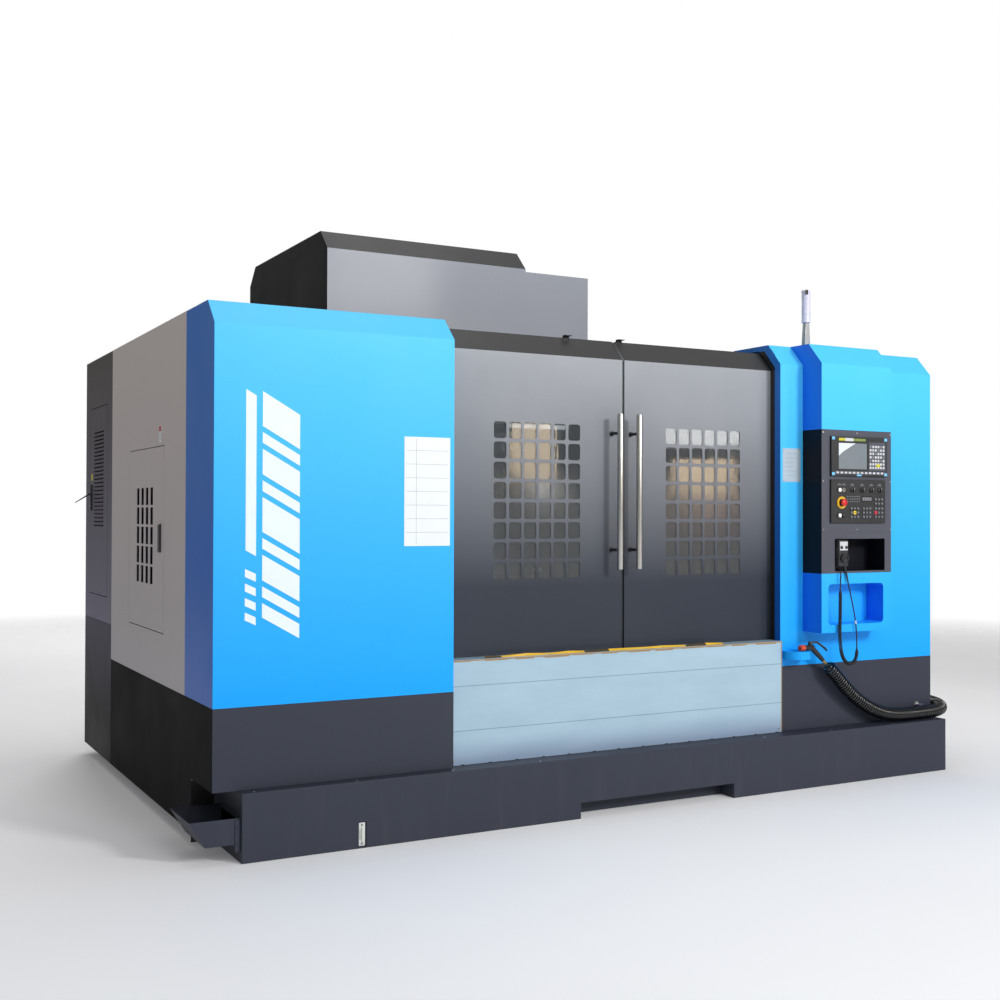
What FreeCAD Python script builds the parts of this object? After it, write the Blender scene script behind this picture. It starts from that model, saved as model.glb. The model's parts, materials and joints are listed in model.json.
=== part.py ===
import FreeCAD, Part
import math
import os

# A vertical CNC machining centre with a full enclosure, modelled in millimetres.
# Working frame: x runs along the front from the left cover's side, y runs from the left cover's
# face to the back, z runs up from the floor. The export moves the origin to the middle of the base.

# ---- overall sizes -------------------------------------------------------------------------
machine_width = 4300.0        # left cover side to right cover side
side_top = 2397.0             # top edge of the left cover and side panel
skirt_top = 651.0             # where the coloured covers end and the dark skirt begins
skirt_bottom = 297.0          # lower edge of the front skirts and the apron
panel_bottom = 60.0           # lower edge of the side and back panels
enclosure_back = 2780.0       # outer face of the back panel
sheet = 3.0                   # cover sheet thickness
run_gap = 0.3                 # gap between pieces that move past each other

# ---- front covers --------------------------------------------------------------------------
left_cover_width = 1135.0
left_face_top = 2289.0
left_chamfer_depth = 106.0
cover_side_depth = 454.0      # how far back the front covers wrap round the sides
right_cover_left = 3152.0
right_face = 55.0             # front face of the right cover
right_face_top = 2303.0
right_top = 2417.0
right_chamfer_depth = 101.0
side_notch_depth = 340.0      # notch in the lower front corner of each side skirt
door_lane_front = 100.0       # where the covers' inner returns end and the door lane begins
door_lane_top = 2391.0

# ---- side panels, cabinet, housings --------------------------------------------------------
side_panel_back = 2062.0
side_door_front = 852.0
side_door_back = 1610.0
side_door_bottom = 893.0
side_door_top = 1806.0
door_tray_depth = 22.0        # depth of the two small access doors
door_edge_gap = 4.0           # shut line round the small doors
cabinet_back = 2836.0
cabinet_depth = 480.0         # how far the electrical cabinet reaches in from the left
cabinet_door_front = 2183.0
cabinet_door_back = 2710.0
cabinet_door_bottom = 990.0
cabinet_door_top = 2107.0
cabinet_split = 843.0
cabinet_split_height = 4.0
cabinet_split_depth = 1.5
mount_plate_thickness = 40.0  # equipment plate on the cabinet's inner wall
mount_plate_margin = 90.0
mount_plate_bottom = 950.0
mount_plate_top = 2250.0
side_slot_columns = 4
side_slot_rows = 5
side_slot_front = 1081.0
side_slot_bottom = 1122.0
side_slot_pitch = 99.0
side_slot_width = 59.0
side_slot_height = 87.0
side_pull_front = 910.0
side_pull_width = 24.0
side_pull_stand = 12.0
side_pull_bottom = 1285.0
side_pull_top = 1424.0
vent_count = 25
vent_front = 2308.0
vent_back = 2583.0
vent_bottom = 1398.0
vent_pitch = 23.0
vent_height = 11.0
escutcheon_stand = 8.0
escutcheon_half_width = 16.0
escutcheon_bottom = 1497.0
escutcheon_top = 1640.0
lever_hub_radius = 6.0
lever_hub_half_width = 9.0
lever_half_width = 7.0
lever_half_height = 5.0
lever_reach = 78.0
lever_drop = 47.0
lever_tip_reach = 84.0
lever_tip_drop = 55.0
roof_top = 2377.0
roof_front = 250.0
roof_hem_height = 47.0
roof_opening_margin = 30.0    # roof left inside the housings' walls
housing_left = 997.0
housing_split = 2258.0
housing_right = 2700.0
housing_front = 1300.0
housing_back = 2703.0
housing_face_top = 2946.0
housing_chamfer_height = 113.0
housing_chamfer_depth = 110.0
low_housing_top = 2930.0

# ---- sliding doors -------------------------------------------------------------------------
door_face = 140.0             # front face of both doors
door_bottom = 785.3
door_face_top = 2273.0
door_slope_top = 2380.0
door_slope_depth = 100.0
door_thickness = 43.0
left_door_left = 1120.0
left_door_right = 2172.0
right_door_left = 2183.0
right_door_right = 3170.0
window_left_start = 1419.0    # left edge of the left door's first window hole
window_right_start = 2446.0
window_bottom = 1158.0
window_hole_width = 70.0
window_hole_height = 82.0
window_pitch_x = 85.0
window_pitch_z = 98.5
window_columns = 6
window_rows = 8
window_corner = 14.0
glass_thickness = 6.0
glass_margin = 20.0
handle_radius = 16.0
handle_stand = 80.0           # handle centre in front of the door face
handle_bottom = 1198.0
handle_top = 1988.0
handle_post_radius = 8.0
handle_post_inset = 98.0
left_handle_x = 2105.0
right_handle_x = 2222.0
track_gap = 3.0               # running gap between the doors' backs and the upper rail
track_depth = 50.0
track_bottom = 2180.0
track_height = 82.0
track_wall = 4.0
lower_track_height = 40.0
lower_track_lead = 4.0        # how far the lower rail shows in front of the doors
lower_track_cover = 7.0       # and how far it reaches past their backs
door_top_drop = 37.0          # height of the door's back edge under its sloped top
door_back_rise = 17.0         # back sheet's top above the front face's top
door_back_margin = 40.0       # frame left round the opening in a door's back
door_back_lip = 8.0
door_back_over_track = 60.0   # top of that opening above the rail's bottom
hanger_width = 60.0
hanger_inset = 150.0
hanger_low = 16.0             # hangers' bottom and top above the rail's bottom
hanger_high = 56.0
seal_width = 6.0
seal_lead = 20.0              # how far the side seals reach in front of the door lane
seal_top = 2270.0

# ---- apron, tank, chute --------------------------------------------------------------------
apron_face = 40.0
apron_top = 790.0
apron_side_gap = 0.5
tank_front = -60.0
tank_left = 112.0
tank_right = 4298.0
tank_back = 560.0
tank_top = 295.0
tank_wall = 4.0
notch_left = 1799.0
notch_right = 2740.0
notch_height = 76.0
notch_depth = 110.0
gauge_left = 637.0
gauge_width = 40.0
gauge_bottom = 6.0
gauge_height = 110.0
gauge_recess = 8.0
chip_way_half_width = 700.0
chip_way_front = 200.0
chip_way_back = 480.0
inlet_side_margin = 20.0      # tank wall left round the chute's inlet
inlet_end_margin = 15.0
chute_front = -40.0
chute_back = 275.0
chute_bottom = 80.0
chute_top = 191.0
chute_reach_low = 151.0       # how far the chute stands out from the tank at its bottom
chute_reach_high = 220.0      # and at its rim
flange_width = 24.0
flange_thickness = 4.0
flange_bottom = 50.0
flange_top = 185.0
flange_bolt_radius = 6.0
flange_bolt_heights = (80.0, 155.0)
apron_screw_inset = 25.0
apron_screw_height = 22.0

# ---- control column ------------------------------------------------------------------------
box_left = 3312.0
box_right = 3828.0
box_face = -94.0
box_bottom = 836.0
box_slope_depth = 102.0
fascia_screw_inset = 9.0      # fascia screws in from the sides, from the top and from the split
fascia_screw_drop = 16.0
fascia_screw_rise = 14.0
fascia_bottom = 1158.0
fascia_top = 1943.0
fascia_split = 1383.0
split_groove = 2.0
black_pocket = (3408.0, 3779.0, 1170.0, 1346.0)     # left, right, bottom, top
blue_pocket = (3361.0, 3768.0, 878.0, 1100.0)
pocket_depth = 130.0
pocket_corner = 25.0
screen_frame = (3371.0, 3783.0, 1690.0, 1906.0)
screen_glass = (3422.0, 3634.0, 1727.0, 1873.0)
screen_stand = 14.0           # how far the screen unit stands out from the fascia
screen_body_depth = 100.0
panel_frame = (3370.0, 3772.0, 1433.0, 1671.0)
panel_stand = 12.0
panel_body_depth = 70.0
unit_rim = 20.0               # rim of each unit that overlaps the fascia
stop_place = (3445.0, 1545.0)
stop_cap_radius = 20.0
stop_ring_radius = 34.0
stop_travel = 5.0
selector_row = 1614.0
selector_places = (3524.0, 3596.0, 3665.0, 3727.0)
selector_radius = 13.0
selector_height = 16.0
button_places = ((3428.0, 1614.0), (3428.0, 1475.0), (3461.0, 1475.0))
button_radius = 11.0
button_travel = 3.0
stem_radius = 4.0
stem_depth = 12.0
ring_height = 5.0

# ---- pendant, gun, lamp --------------------------------------------------------------------
pendant_width = 72.0
pendant_depth = 40.0
pendant_height = 145.0
pendant_front = -118.0
pendant_lift = 26.0           # pendant's bottom above the pocket floor
hook_thickness = 6.0
wheel_radius = 26.0
wheel_height = 14.0
wheel_drop = 48.0             # wheel's centre above the pendant's bottom
knob_radius = 8.0
knob_height = 10.0
knob_rise = 104.0             # knobs' centres above the pendant's bottom
knob_spread = 17.0
relief_radius = 6.5
pendant_cord_radius = 3.5
pendant_coil_radius = 10.5
cup_left = 3165.0
cup_width = 140.0
cup_top = 735.0
cup_height = 42.0
cup_reach = 112.0
cup_hole_radius = 26.0
gun_y = -15.0
nozzle_radius = 17.0
nozzle_left = 3228.0
nozzle_length = 30.0
barrel_radius = 15.0
barrel_length = 66.0
grip_radius = 13.0
hose_radius = 39.0
lamp_x = 3458.0
lamp_y = 190.0
lamp_bracket_height = 150.0
lamp_tube_radius = 26.0
lamp_tube_height = 185.0

# ---- machine inside ------------------------------------------------------------------------
centre_x = 2150.0             # spindle, column and table centre
spindle_y = 1130.0
bed_half_width = 900.0
bed_front = 640.0
bed_nose_front = 420.0
bed_back = 2740.0
bed_bottom = 90.0
bed_top = 520.0
bed_wall = 160.0
way_top = 600.0
way_width = 120.0
way_half_span = 490.0
seat_front = 2060.0
seat_top = 640.0
saddle_half_length = 980.0
saddle_half_depth = 400.0
saddle_top = 780.0
cross_way_half_span = 280.0
cross_way_width = 100.0
table_bottom = 840.0
table_top = 950.0
table_half_length = 900.0
table_half_depth = 450.0
slot_count = 5
slot_pitch = 160.0
slot_width = 18.0
slot_depth = 20.0
slot_foot_width = 30.0
slot_foot_depth = 14.0
feed_screw_radius = 20.0
screw_end_radius = 14.0
screw_end_length = 20.0
cross_screw_rise = 28.0       # table screw's centre above the saddle's top
upright_screw_stand = 30.0    # head screw's centre in front of the column
screw_block_width = 40.0      # saddle's bearing blocks, half width and thickness
saddle_nut_half = 40.0
saddle_pocket_length = 480.0
saddle_pocket_margin = 80.0
saddle_roof_thickness = 50.0
table_nut_half_length = 45.0
table_nut_half_width = 38.0
column_block_half_width = 50.0
column_block_height = 40.0
column_block_rise = 20.0
pad_stud_radius = 18.0
column_half_width = 380.0
column_front = 2080.0
column_back = 2660.0
column_top = 2840.0
column_wall = 45.0
bearing_block_depth = 50.0
upright_way_depth = 50.0
upright_way_half_span = 250.0
upright_way_width = 100.0
upright_way_bottom = 1150.0
head_nut_half_width = 42.0
head_nut_height = 80.0
head_nut_gap = 3.0            # gap between the head's nut and the column
head_relief_half_width = 60.0
head_relief_depth = 6.0
belt_cover_half_width = 140.0
belt_cover_lead = 150.0       # how far the belt cover reaches in front of the spindle
belt_cover_back = 1660.0
belt_cover_height = 50.0
drive_motor_radius = 125.0
drive_motor_y = 1500.0
drive_motor_top = 480.0       # top of the drive motor above the head
nose_bottom = 1850.0
nose_radius = 110.0
head_bottom = 1990.0
head_top = 2300.0
head_half_width = 200.0
head_front = 930.0
slide_front = 1850.0
slide_half_width = 300.0
slide_top = 2650.0
spindle_radius = 44.0
spindle_flange_radius = 64.0
spindle_flange_height = 12.0
taper_mouth_radius = 22.2
taper_end_radius = 13.0
taper_depth = 65.0
well_length = 40.0            # clearance hole above the taper
drive_key_place = 42.0
drive_key_half_length = 9.0
drive_key_half_width = 8.0
drive_key_height = 6.0
bed_motor_half_width = 40.0
bed_motor_half_height = 38.0
bed_motor_length = 150.0
top_motor_half_width = 60.0
top_motor_height = 170.0
disc_z = 2070.0
disc_radius = 235.0
disc_plate_left = 1520.0
disc_plate_thickness = 20.0
pot_count = 16
pot_circle = 200.0
pot_radius = 32.0
pot_length = 95.0
frame_plate_left = 1570.0
arm_centre_x = 1800.0
arm_bottom = 1780.0
arm_thickness = 45.0
arm_reach = 350.0
arm_shaft_radius = 35.0
arm_shaft_top = 2060.0
cam_box_bottom = 1900.0
cam_box_top = 2150.0
cam_box_half_width = 80.0
cam_box_half_depth = 90.0
frame_plate_thickness = 30.0
frame_plate_lead = 150.0      # frame plate in front of the disc's axis, below it and above it
frame_plate_back = 1700.0
frame_plate_drop = 200.0
frame_plate_rise = 180.0
frame_beam_front = 1450.0
frame_beam_back = 2330.0
frame_beam_drop = 60.0
disc_hub_radius = 60.0
arm_half_width = 30.0
arm_hub_radius = 55.0
gripper_radius = 48.0
gripper_step = 8.0            # gripper's faces below the arm's
jaw_radius = 32.0
jaw_mouth_half_width = 26.0
jaw_mouth_length = 60.0
liner_left = 330.0
liner_front = 260.0
liner_back = 2036.0
liner_bottom = 600.0
liner_top = roof_top - sheet
pad_radius = 75.0
pad_thickness = 35.0

# ---- places worked out from the sizes above ------------------------------------------------
track_front = door_face + door_thickness + track_gap
chute_left = tank_left - chute_reach_high
panel_face = box_face - panel_stand
stop_height = 28.0
deepest_front = panel_face - stop_height
origin_x = (chute_left + machine_width) / 2
origin_y = (deepest_front + cabinet_back) / 2
pendant_left = black_pocket[0] + hook_thickness
pendant_bottom = black_pocket[2] + pendant_lift
arm_top = arm_bottom + arm_thickness
slide_back = column_front - upright_way_depth - run_gap
barrel_z = cup_top + run_gap + nozzle_radius
grip_top = (nozzle_left + nozzle_length + 60.0, barrel_z - 4.0)
grip_end = (grip_top[0] + 77.0, grip_top[1] - 70.0)
brass_end = (grip_end[0] + 22.0, grip_end[1] - 20.0)
trigger_pivot = (nozzle_left + nozzle_length + 45.0, barrel_z + barrel_radius + 12.0)
lever_pivot = (-14.5, 1590.0)
lever_y = 2654.0


def vec(x, y, z):
    return FreeCAD.Vector(x, y, z)


def box(x0, x1, y0, y1, z0, z1):
    return Part.makeBox(x1 - x0, y1 - y0, z1 - z0, vec(x0, y0, z0))


def rod(radius, start, end):
    """A round bar from one centre point to another."""
    axis = end - start
    return Part.makeCylinder(radius, axis.Length, start, axis)


def cone(radius_start, radius_end, start, end):
    axis = end - start
    return Part.makeCone(radius_start, radius_end, axis.Length, start, axis)


def prism(points, axis, low, high):
    """A straight prism: the outline lies across the named axis and runs from low to high along it."""
    place = {
        "x": lambda a, b: vec(low, a, b),
        "y": lambda a, b: vec(a, low, b),
        "z": lambda a, b: vec(a, b, low),
    }[axis]
    run = {"x": vec(1, 0, 0), "y": vec(0, 1, 0), "z": vec(0, 0, 1)}[axis] * (high - low)
    corners = [place(a, b) for a, b in points]
    return Part.Face(Part.makePolygon(corners + corners[:1])).extrude(run)


def inset(points, amount):
    """The outline moved inward by the same amount on every side, with mitred corners."""
    area = sum(a[0] * b[1] - b[0] * a[1] for a, b in zip(points, points[1:] + points[:1]))
    turn = 1.0 if area > 0 else -1.0
    result = []
    for i, here in enumerate(points):
        before = points[i - 1]
        after = points[(i + 1) % len(points)]
        d1 = (here[0] - before[0], here[1] - before[1])
        d2 = (after[0] - here[0], after[1] - here[1])
        l1 = math.hypot(*d1)
        l2 = math.hypot(*d2)
        n1 = (-turn * d1[1] / l1, turn * d1[0] / l1)
        n2 = (-turn * d2[1] / l2, turn * d2[0] / l2)
        scale = amount / (1 + n1[0] * n2[0] + n1[1] * n2[1])
        result.append((here[0] + (n1[0] + n2[0]) * scale, here[1] + (n1[1] + n2[1]) * scale))
    return result


def round_block(x0, x1, z0, z1, corner, y0, y1):
    """A block with its four edges along y rounded."""
    block = box(x0, x1, y0, y1, z0, z1)
    edges = [e for e in block.Edges if abs(e.Vertexes[0].Y - e.Vertexes[-1].Y) > 1]
    return block.makeFillet(corner, edges)


def join(first, *rest):
    return first.multiFuse(list(rest)).removeSplitter()


def save(name, *shapes):
    """Move the shapes to the part's origin and write them as one node."""
    placed = []
    for shape in shapes:
        for solid in shape.Solids:
            copy = solid.copy()
            copy.translate(vec(-origin_x, -origin_y, 0))
            placed.append(copy)
    body = placed[0] if len(placed) == 1 else Part.makeCompound(placed)
    body.exportStep(f"parts/{name}.step")
    box_text = " ".join(f"{value:.0f}" for value in (
        body.BoundBox.XMin, body.BoundBox.XMax, body.BoundBox.YMin, body.BoundBox.YMax,
        body.BoundBox.ZMin, body.BoundBox.ZMax))
    print(f"{name}: {len(placed)} solids, {body.Volume / 1e6:.2f} litres, box {box_text}")


# ---- enclosure -----------------------------------------------------------------------------
def left_front_cover():
    """Folded cover over the left front corner, open behind for the sliding door."""
    outline = [(0, skirt_top), (0, left_face_top), (left_chamfer_depth, side_top),
               (cover_side_depth, side_top), (cover_side_depth, skirt_top)]
    shell = prism(outline, "x", 0, left_cover_width)
    hollow = inset(outline, sheet)
    hollow[3] = (cover_side_depth + 1, hollow[3][1])
    hollow[4] = (cover_side_depth + 1, skirt_top - 1)
    hollow[0] = (hollow[0][0], skirt_top - 1)
    shell = shell.cut(prism(hollow, "x", sheet, left_cover_width - sheet))
    lane = box(left_cover_width - sheet - 1, left_cover_width + 1, door_lane_front,
               cover_side_depth + 1, skirt_top - 1, door_lane_top)
    return shell.cut(lane)


def right_front_cover():
    top_front = right_face + right_chamfer_depth
    outline = [(right_face, skirt_top), (right_face, right_face_top), (top_front, right_top),
               (cover_side_depth, right_top), (cover_side_depth, skirt_top)]
    shell = prism(outline, "x", right_cover_left, machine_width)
    hollow = inset(outline, sheet)
    hollow[3] = (cover_side_depth + 1, hollow[3][1])
    hollow[4] = (cover_side_depth + 1, skirt_top - 1)
    hollow[0] = (hollow[0][0], skirt_top - 1)
    shell = shell.cut(prism(hollow, "x", right_cover_left + sheet, machine_width - sheet))
    lane = box(right_cover_left - 1, right_cover_left + sheet + 1, door_lane_front,
               cover_side_depth + 1, skirt_top - 1, door_lane_top)
    return shell.cut(lane)


def left_panel():
    """Left side panel with the opening for its access door and a folded lip round it."""
    panel = box(0, sheet, cover_side_depth, side_panel_back, skirt_top, side_top)
    lip = box(sheet, door_tray_depth + sheet, side_door_front - sheet, side_door_back + sheet,
              side_door_bottom - sheet, side_door_top + sheet)
    opening = box(-1, door_tray_depth + sheet + 1, side_door_front, side_door_back,
                  side_door_bottom, side_door_top)
    return panel.fuse(lip).cut(opening)


def right_panel():
    return box(machine_width - sheet, machine_width, cover_side_depth, enclosure_back,
               skirt_top, side_top)


def back_panel():
    return box(cabinet_depth, machine_width - sheet, enclosure_back - sheet, enclosure_back,
               panel_bottom, side_top)


def skirt(side_x, front_x0, front_x1, face, back, notch_back):
    """One front skirt with its side sheet, notched at the lower front corner."""
    inner_x = side_x + sheet if side_x < centre_x else side_x - sheet
    side = box(min(side_x, inner_x), max(side_x, inner_x), face, back, panel_bottom, skirt_top)
    front = box(front_x0, front_x1, face, face + sheet, skirt_bottom, skirt_top)
    notch = box(side_x - 10, side_x + 10, face - 1, notch_back, panel_bottom - 1, skirt_bottom)
    return join(side.cut(notch), front)


def front_apron():
    """Stainless apron under the doors, folded back at its top and down behind the fold."""
    left = left_cover_width + apron_side_gap
    right = right_cover_left - apron_side_gap
    rear = door_face - 4
    face = box(left, right, apron_face, apron_face + sheet, skirt_bottom, apron_top)
    shelf = box(left, right, apron_face, rear, apron_top - sheet, apron_top)
    hem = box(left, right, rear - sheet, rear, door_bottom - lower_track_height, apron_top)
    holes = [rod(3.3, vec(x, apron_face - 1, z), vec(x, apron_face + sheet + 1, z))
             for x, z in apron_screws()]
    return join(face, shelf, hem).cut(Part.makeCompound(holes))


def apron_screws():
    left = left_cover_width + apron_screw_inset
    right = right_cover_left - apron_screw_inset
    z = skirt_bottom + apron_screw_height
    return [(left, z), (right, z)]


def coolant_tank():
    """Welded tank under the front, with a fork notch, a gauge recess and a chip opening on top."""
    tank = box(tank_left, tank_right, tank_front, tank_back, 0, tank_top)
    hollow = box(tank_left + tank_wall, tank_right - tank_wall, tank_front + tank_wall,
                 tank_back - tank_wall, tank_wall, tank_top - tank_wall)
    notch_walls = box(notch_left - tank_wall, notch_right + tank_wall, tank_front,
                      tank_front + notch_depth + tank_wall, 0, notch_height + tank_wall)
    gauge_walls = box(gauge_left - tank_wall, gauge_left + gauge_width + tank_wall, tank_front,
                      tank_front + gauge_recess + tank_wall, tank_wall,
                      gauge_bottom + gauge_height + tank_wall)
    tank = tank.cut(hollow).fuse([notch_walls, gauge_walls])
    notch = box(notch_left, notch_right, tank_front - 1, tank_front + notch_depth, -1, notch_height)
    recess = box(gauge_left, gauge_left + gauge_width, tank_front - 1, tank_front + gauge_recess,
                 gauge_bottom, gauge_bottom + gauge_height)
    chip_way = box(centre_x - chip_way_half_width, centre_x + chip_way_half_width, chip_way_front,
                   chip_way_back, tank_top - tank_wall - 1, tank_top + 1)
    inlet = box(tank_left - 1, tank_left + tank_wall + 1, chute_front + inlet_side_margin,
                chute_back - inlet_side_margin, chute_bottom + inlet_end_margin,
                chute_top - inlet_end_margin)
    return tank.cut(Part.makeCompound([notch, recess, chip_way, inlet]))


def tank_filler_chute():
    """Open hopper on the tank's left end, with the tank as its fourth wall and a bolted flange."""
    low = tank_left - chute_reach_low
    outline = [(tank_left, chute_bottom), (low, chute_bottom), (chute_left, chute_top),
               (tank_left, chute_top)]
    hopper = prism(outline, "y", chute_front, chute_back)
    hollow = inset(outline, sheet)
    rim = chute_top + 1
    slope = (hollow[2][0] - hollow[1][0]) / (hollow[2][1] - hollow[1][1])
    hollow[2] = (hollow[1][0] + slope * (rim - hollow[1][1]), rim)
    hollow[3] = (tank_left + 1, rim)
    hollow[0] = (tank_left + 1, hollow[0][1])
    hopper = hopper.cut(prism(hollow, "y", chute_front + sheet, chute_back - sheet))
    face = chute_front - flange_thickness
    flange = box(tank_left - flange_width, tank_left, face, chute_front, flange_bottom, flange_top)
    bolt_x = tank_left - flange_width / 2
    bolts = [rod(flange_bolt_radius, vec(bolt_x, face - flange_thickness, z), vec(bolt_x, face, z))
             for z in flange_bolt_heights]
    return join(hopper, flange, *bolts)


def cabinet():
    """Electrical cabinet at the left rear, with its door opening and a shut line above the plinth."""
    body = box(0, cabinet_depth, side_panel_back, cabinet_back, panel_bottom, side_top)
    hollow = box(sheet, cabinet_depth - sheet, side_panel_back + sheet, cabinet_back - sheet,
                 panel_bottom + sheet, side_top - sheet)
    lip = box(sheet, door_tray_depth + sheet, cabinet_door_front - sheet, cabinet_door_back + sheet,
              cabinet_door_bottom - sheet, cabinet_door_top + sheet)
    plate = box(cabinet_depth - sheet - mount_plate_thickness, cabinet_depth - sheet,
                side_panel_back + mount_plate_margin, cabinet_back - mount_plate_margin,
                mount_plate_bottom, mount_plate_top)
    opening = box(-1, door_tray_depth + sheet + 1, cabinet_door_front, cabinet_door_back,
                  cabinet_door_bottom, cabinet_door_top)
    groove = box(-1, cabinet_split_depth, side_panel_back - 1, cabinet_back + 1,
                 cabinet_split - cabinet_split_height / 2, cabinet_split + cabinet_split_height / 2)
    return body.cut(hollow).fuse([lip, plate]).cut(Part.makeCompound([opening, groove]))


def tray_door(front, back, bottom, top, hinge_at_back):
    """A flush door in the plane of the left side: a folded tray with three hinge leaves at one edge."""
    y0 = front + door_edge_gap
    y1 = back - door_edge_gap
    z0 = bottom + door_edge_gap
    z1 = top - door_edge_gap
    tray = box(0, door_tray_depth, y0, y1, z0, z1)
    tray = tray.cut(box(sheet, door_tray_depth + 1, y0 + sheet, y1 - sheet, z0 + sheet, z1 - sheet))
    reach = door_edge_gap - run_gap
    leaf_y = y1 if hinge_at_back else y0 - reach
    leaves = [box(sheet, door_tray_depth - 3, leaf_y, leaf_y + reach, z, z + 60)
              for z in (z0 + 100, (z0 + z1) / 2 - 30, z1 - 160)]
    return join(tray, *leaves)


def side_door():
    """Access door with four columns of upright slots and a black pull at its front edge."""
    slots = []
    for column in range(side_slot_columns):
        for row in range(side_slot_rows):
            y = side_slot_front + column * side_slot_pitch
            z = side_slot_bottom + row * side_slot_pitch
            slots.append(box(-1, sheet + 1, y, y + side_slot_width, z, z + side_slot_height))
    door = tray_door(side_door_front, side_door_back, side_door_bottom, side_door_top, True)
    pull = box(-side_pull_stand, 0, side_pull_front, side_pull_front + side_pull_width,
               side_pull_bottom, side_pull_top)
    return [door.cut(Part.makeCompound(slots)), pull]


def cabinet_door():
    """Cabinet door with rows of vent slots and the escutcheon of its lever."""
    rows = [vent_bottom + i * vent_pitch for i in range(vent_count)]
    vents = [box(-1, sheet + 1, vent_front, vent_back, z, z + vent_height) for z in rows]
    door = tray_door(cabinet_door_front, cabinet_door_back, cabinet_door_bottom,
                     cabinet_door_top, False)
    escutcheon = box(-escutcheon_stand, 0, lever_y - escutcheon_half_width,
                     lever_y + escutcheon_half_width, escutcheon_bottom, escutcheon_top)
    return [door.cut(Part.makeCompound(vents)), escutcheon]


def cabinet_lever():
    """Swing lever, standing out and down from its pivot as it is left open."""
    x, z = lever_pivot
    hub = rod(lever_hub_radius, vec(x, lever_y - lever_hub_half_width, z),
              vec(x, lever_y + lever_hub_half_width, z))
    outline = [(x, z - lever_half_height), (x, z + lever_half_height),
               (x - lever_reach, z - lever_drop), (x - lever_tip_reach, z - lever_tip_drop)]
    blade = prism(outline, "y", lever_y - lever_half_width, lever_y + lever_half_width)
    return hub.fuse(blade)


def roof():
    """Roof sheet with a folded front edge and the opening under the housings."""
    plate = box(sheet, machine_width - sheet, cover_side_depth, enclosure_back - sheet,
                roof_top - sheet, roof_top)
    front = box(left_cover_width, right_cover_left, roof_front, cover_side_depth,
                roof_top - sheet, roof_top)
    hem = box(left_cover_width, right_cover_left, roof_front, roof_front + sheet,
              roof_top - roof_hem_height, roof_top)
    cabinet_place = box(-1, cabinet_depth, side_panel_back, cabinet_back, roof_top - 5, roof_top + 5)
    margin = roof_opening_margin
    opening = box(housing_left + margin, housing_right - margin, housing_front + margin,
                  housing_back - margin, roof_top - 5, roof_top + 5)
    return join(plate, front, hem).cut(cabinet_place).cut(opening)


def tall_housing():
    """Tall cover over the column and spindle drive, sloped along its front and back top edges."""
    crown = housing_face_top + housing_chamfer_height
    outline = [(housing_front, roof_top), (housing_front, housing_face_top),
               (housing_front + housing_chamfer_depth, crown),
               (housing_back - housing_chamfer_depth, crown),
               (housing_back, housing_face_top), (housing_back, roof_top)]
    hollow = inset(outline, sheet)
    hollow[0] = (hollow[0][0], roof_top - 1)
    hollow[-1] = (hollow[-1][0], roof_top - 1)
    shell = prism(outline, "x", housing_left, housing_split)
    shell = shell.cut(prism(hollow, "x", housing_left + sheet, housing_split - sheet))
    doorway = box(housing_split - 10, housing_split + 1, housing_front + 40, housing_back - 40,
                  roof_top - 1, low_housing_top - 30)
    return shell.cut(doorway)


def low_housing():
    shell = box(housing_split, housing_right, housing_front, housing_back, roof_top, low_housing_top)
    hollow = box(housing_split - 1, housing_right - sheet, housing_front + sheet,
                 housing_back - sheet, roof_top - 1, low_housing_top - sheet)
    return shell.cut(hollow)


# ---- doors ---------------------------------------------------------------------------------
def door_panel(left, right, window_start):
    """Sliding door: a hollow folded panel whose sloped top overhangs the track, with a window grid."""
    rear = door_face + door_thickness
    slope_back = door_face + door_slope_depth
    outline = [(door_face, door_bottom), (door_face, door_face_top), (slope_back, door_slope_top),
               (slope_back, door_slope_top - door_top_drop), (rear, door_face_top + door_back_rise),
               (rear, door_bottom)]
    panel = prism(outline, "x", left, right)
    panel = panel.cut(prism(inset(outline, sheet), "x", left + sheet, right - sheet))
    panel = panel.cut(box(left + door_back_margin, right - door_back_margin, rear - door_back_lip,
                          rear + 1, door_bottom + door_back_margin,
                          track_bottom + door_back_over_track))
    hangers = [box(x, x + hanger_width, door_face + sheet, track_front - run_gap,
                   track_bottom + hanger_low, track_bottom + hanger_high)
               for x in (left + hanger_inset, right - hanger_inset - hanger_width)]
    panel = join(panel, *hangers)
    holes = []
    for column in range(window_columns):
        for row in range(window_rows):
            x = window_start + column * window_pitch_x
            z = window_bottom + row * window_pitch_z
            holes.append(round_block(x, x + window_hole_width, z, z + window_hole_height,
                                     window_corner, door_face - 1, door_face + sheet + 1))
    return panel.cut(Part.makeCompound(holes))


def door_glass(window_start):
    width = (window_columns - 1) * window_pitch_x + window_hole_width
    height = (window_rows - 1) * window_pitch_z + window_hole_height
    return box(window_start - glass_margin, window_start + width + glass_margin, door_face + sheet,
               door_face + sheet + glass_thickness, window_bottom - glass_margin,
               window_bottom + height + glass_margin)


def door_handle(x):
    """Round bar handle on two posts."""
    y = door_face - handle_stand
    bar = rod(handle_radius, vec(x, y, handle_bottom), vec(x, y, handle_top))
    posts = [rod(handle_post_radius, vec(x, y, z), vec(x, door_face, z))
             for z in (handle_bottom + handle_post_inset, handle_top - handle_post_inset)]
    return join(bar, *posts)


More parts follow.
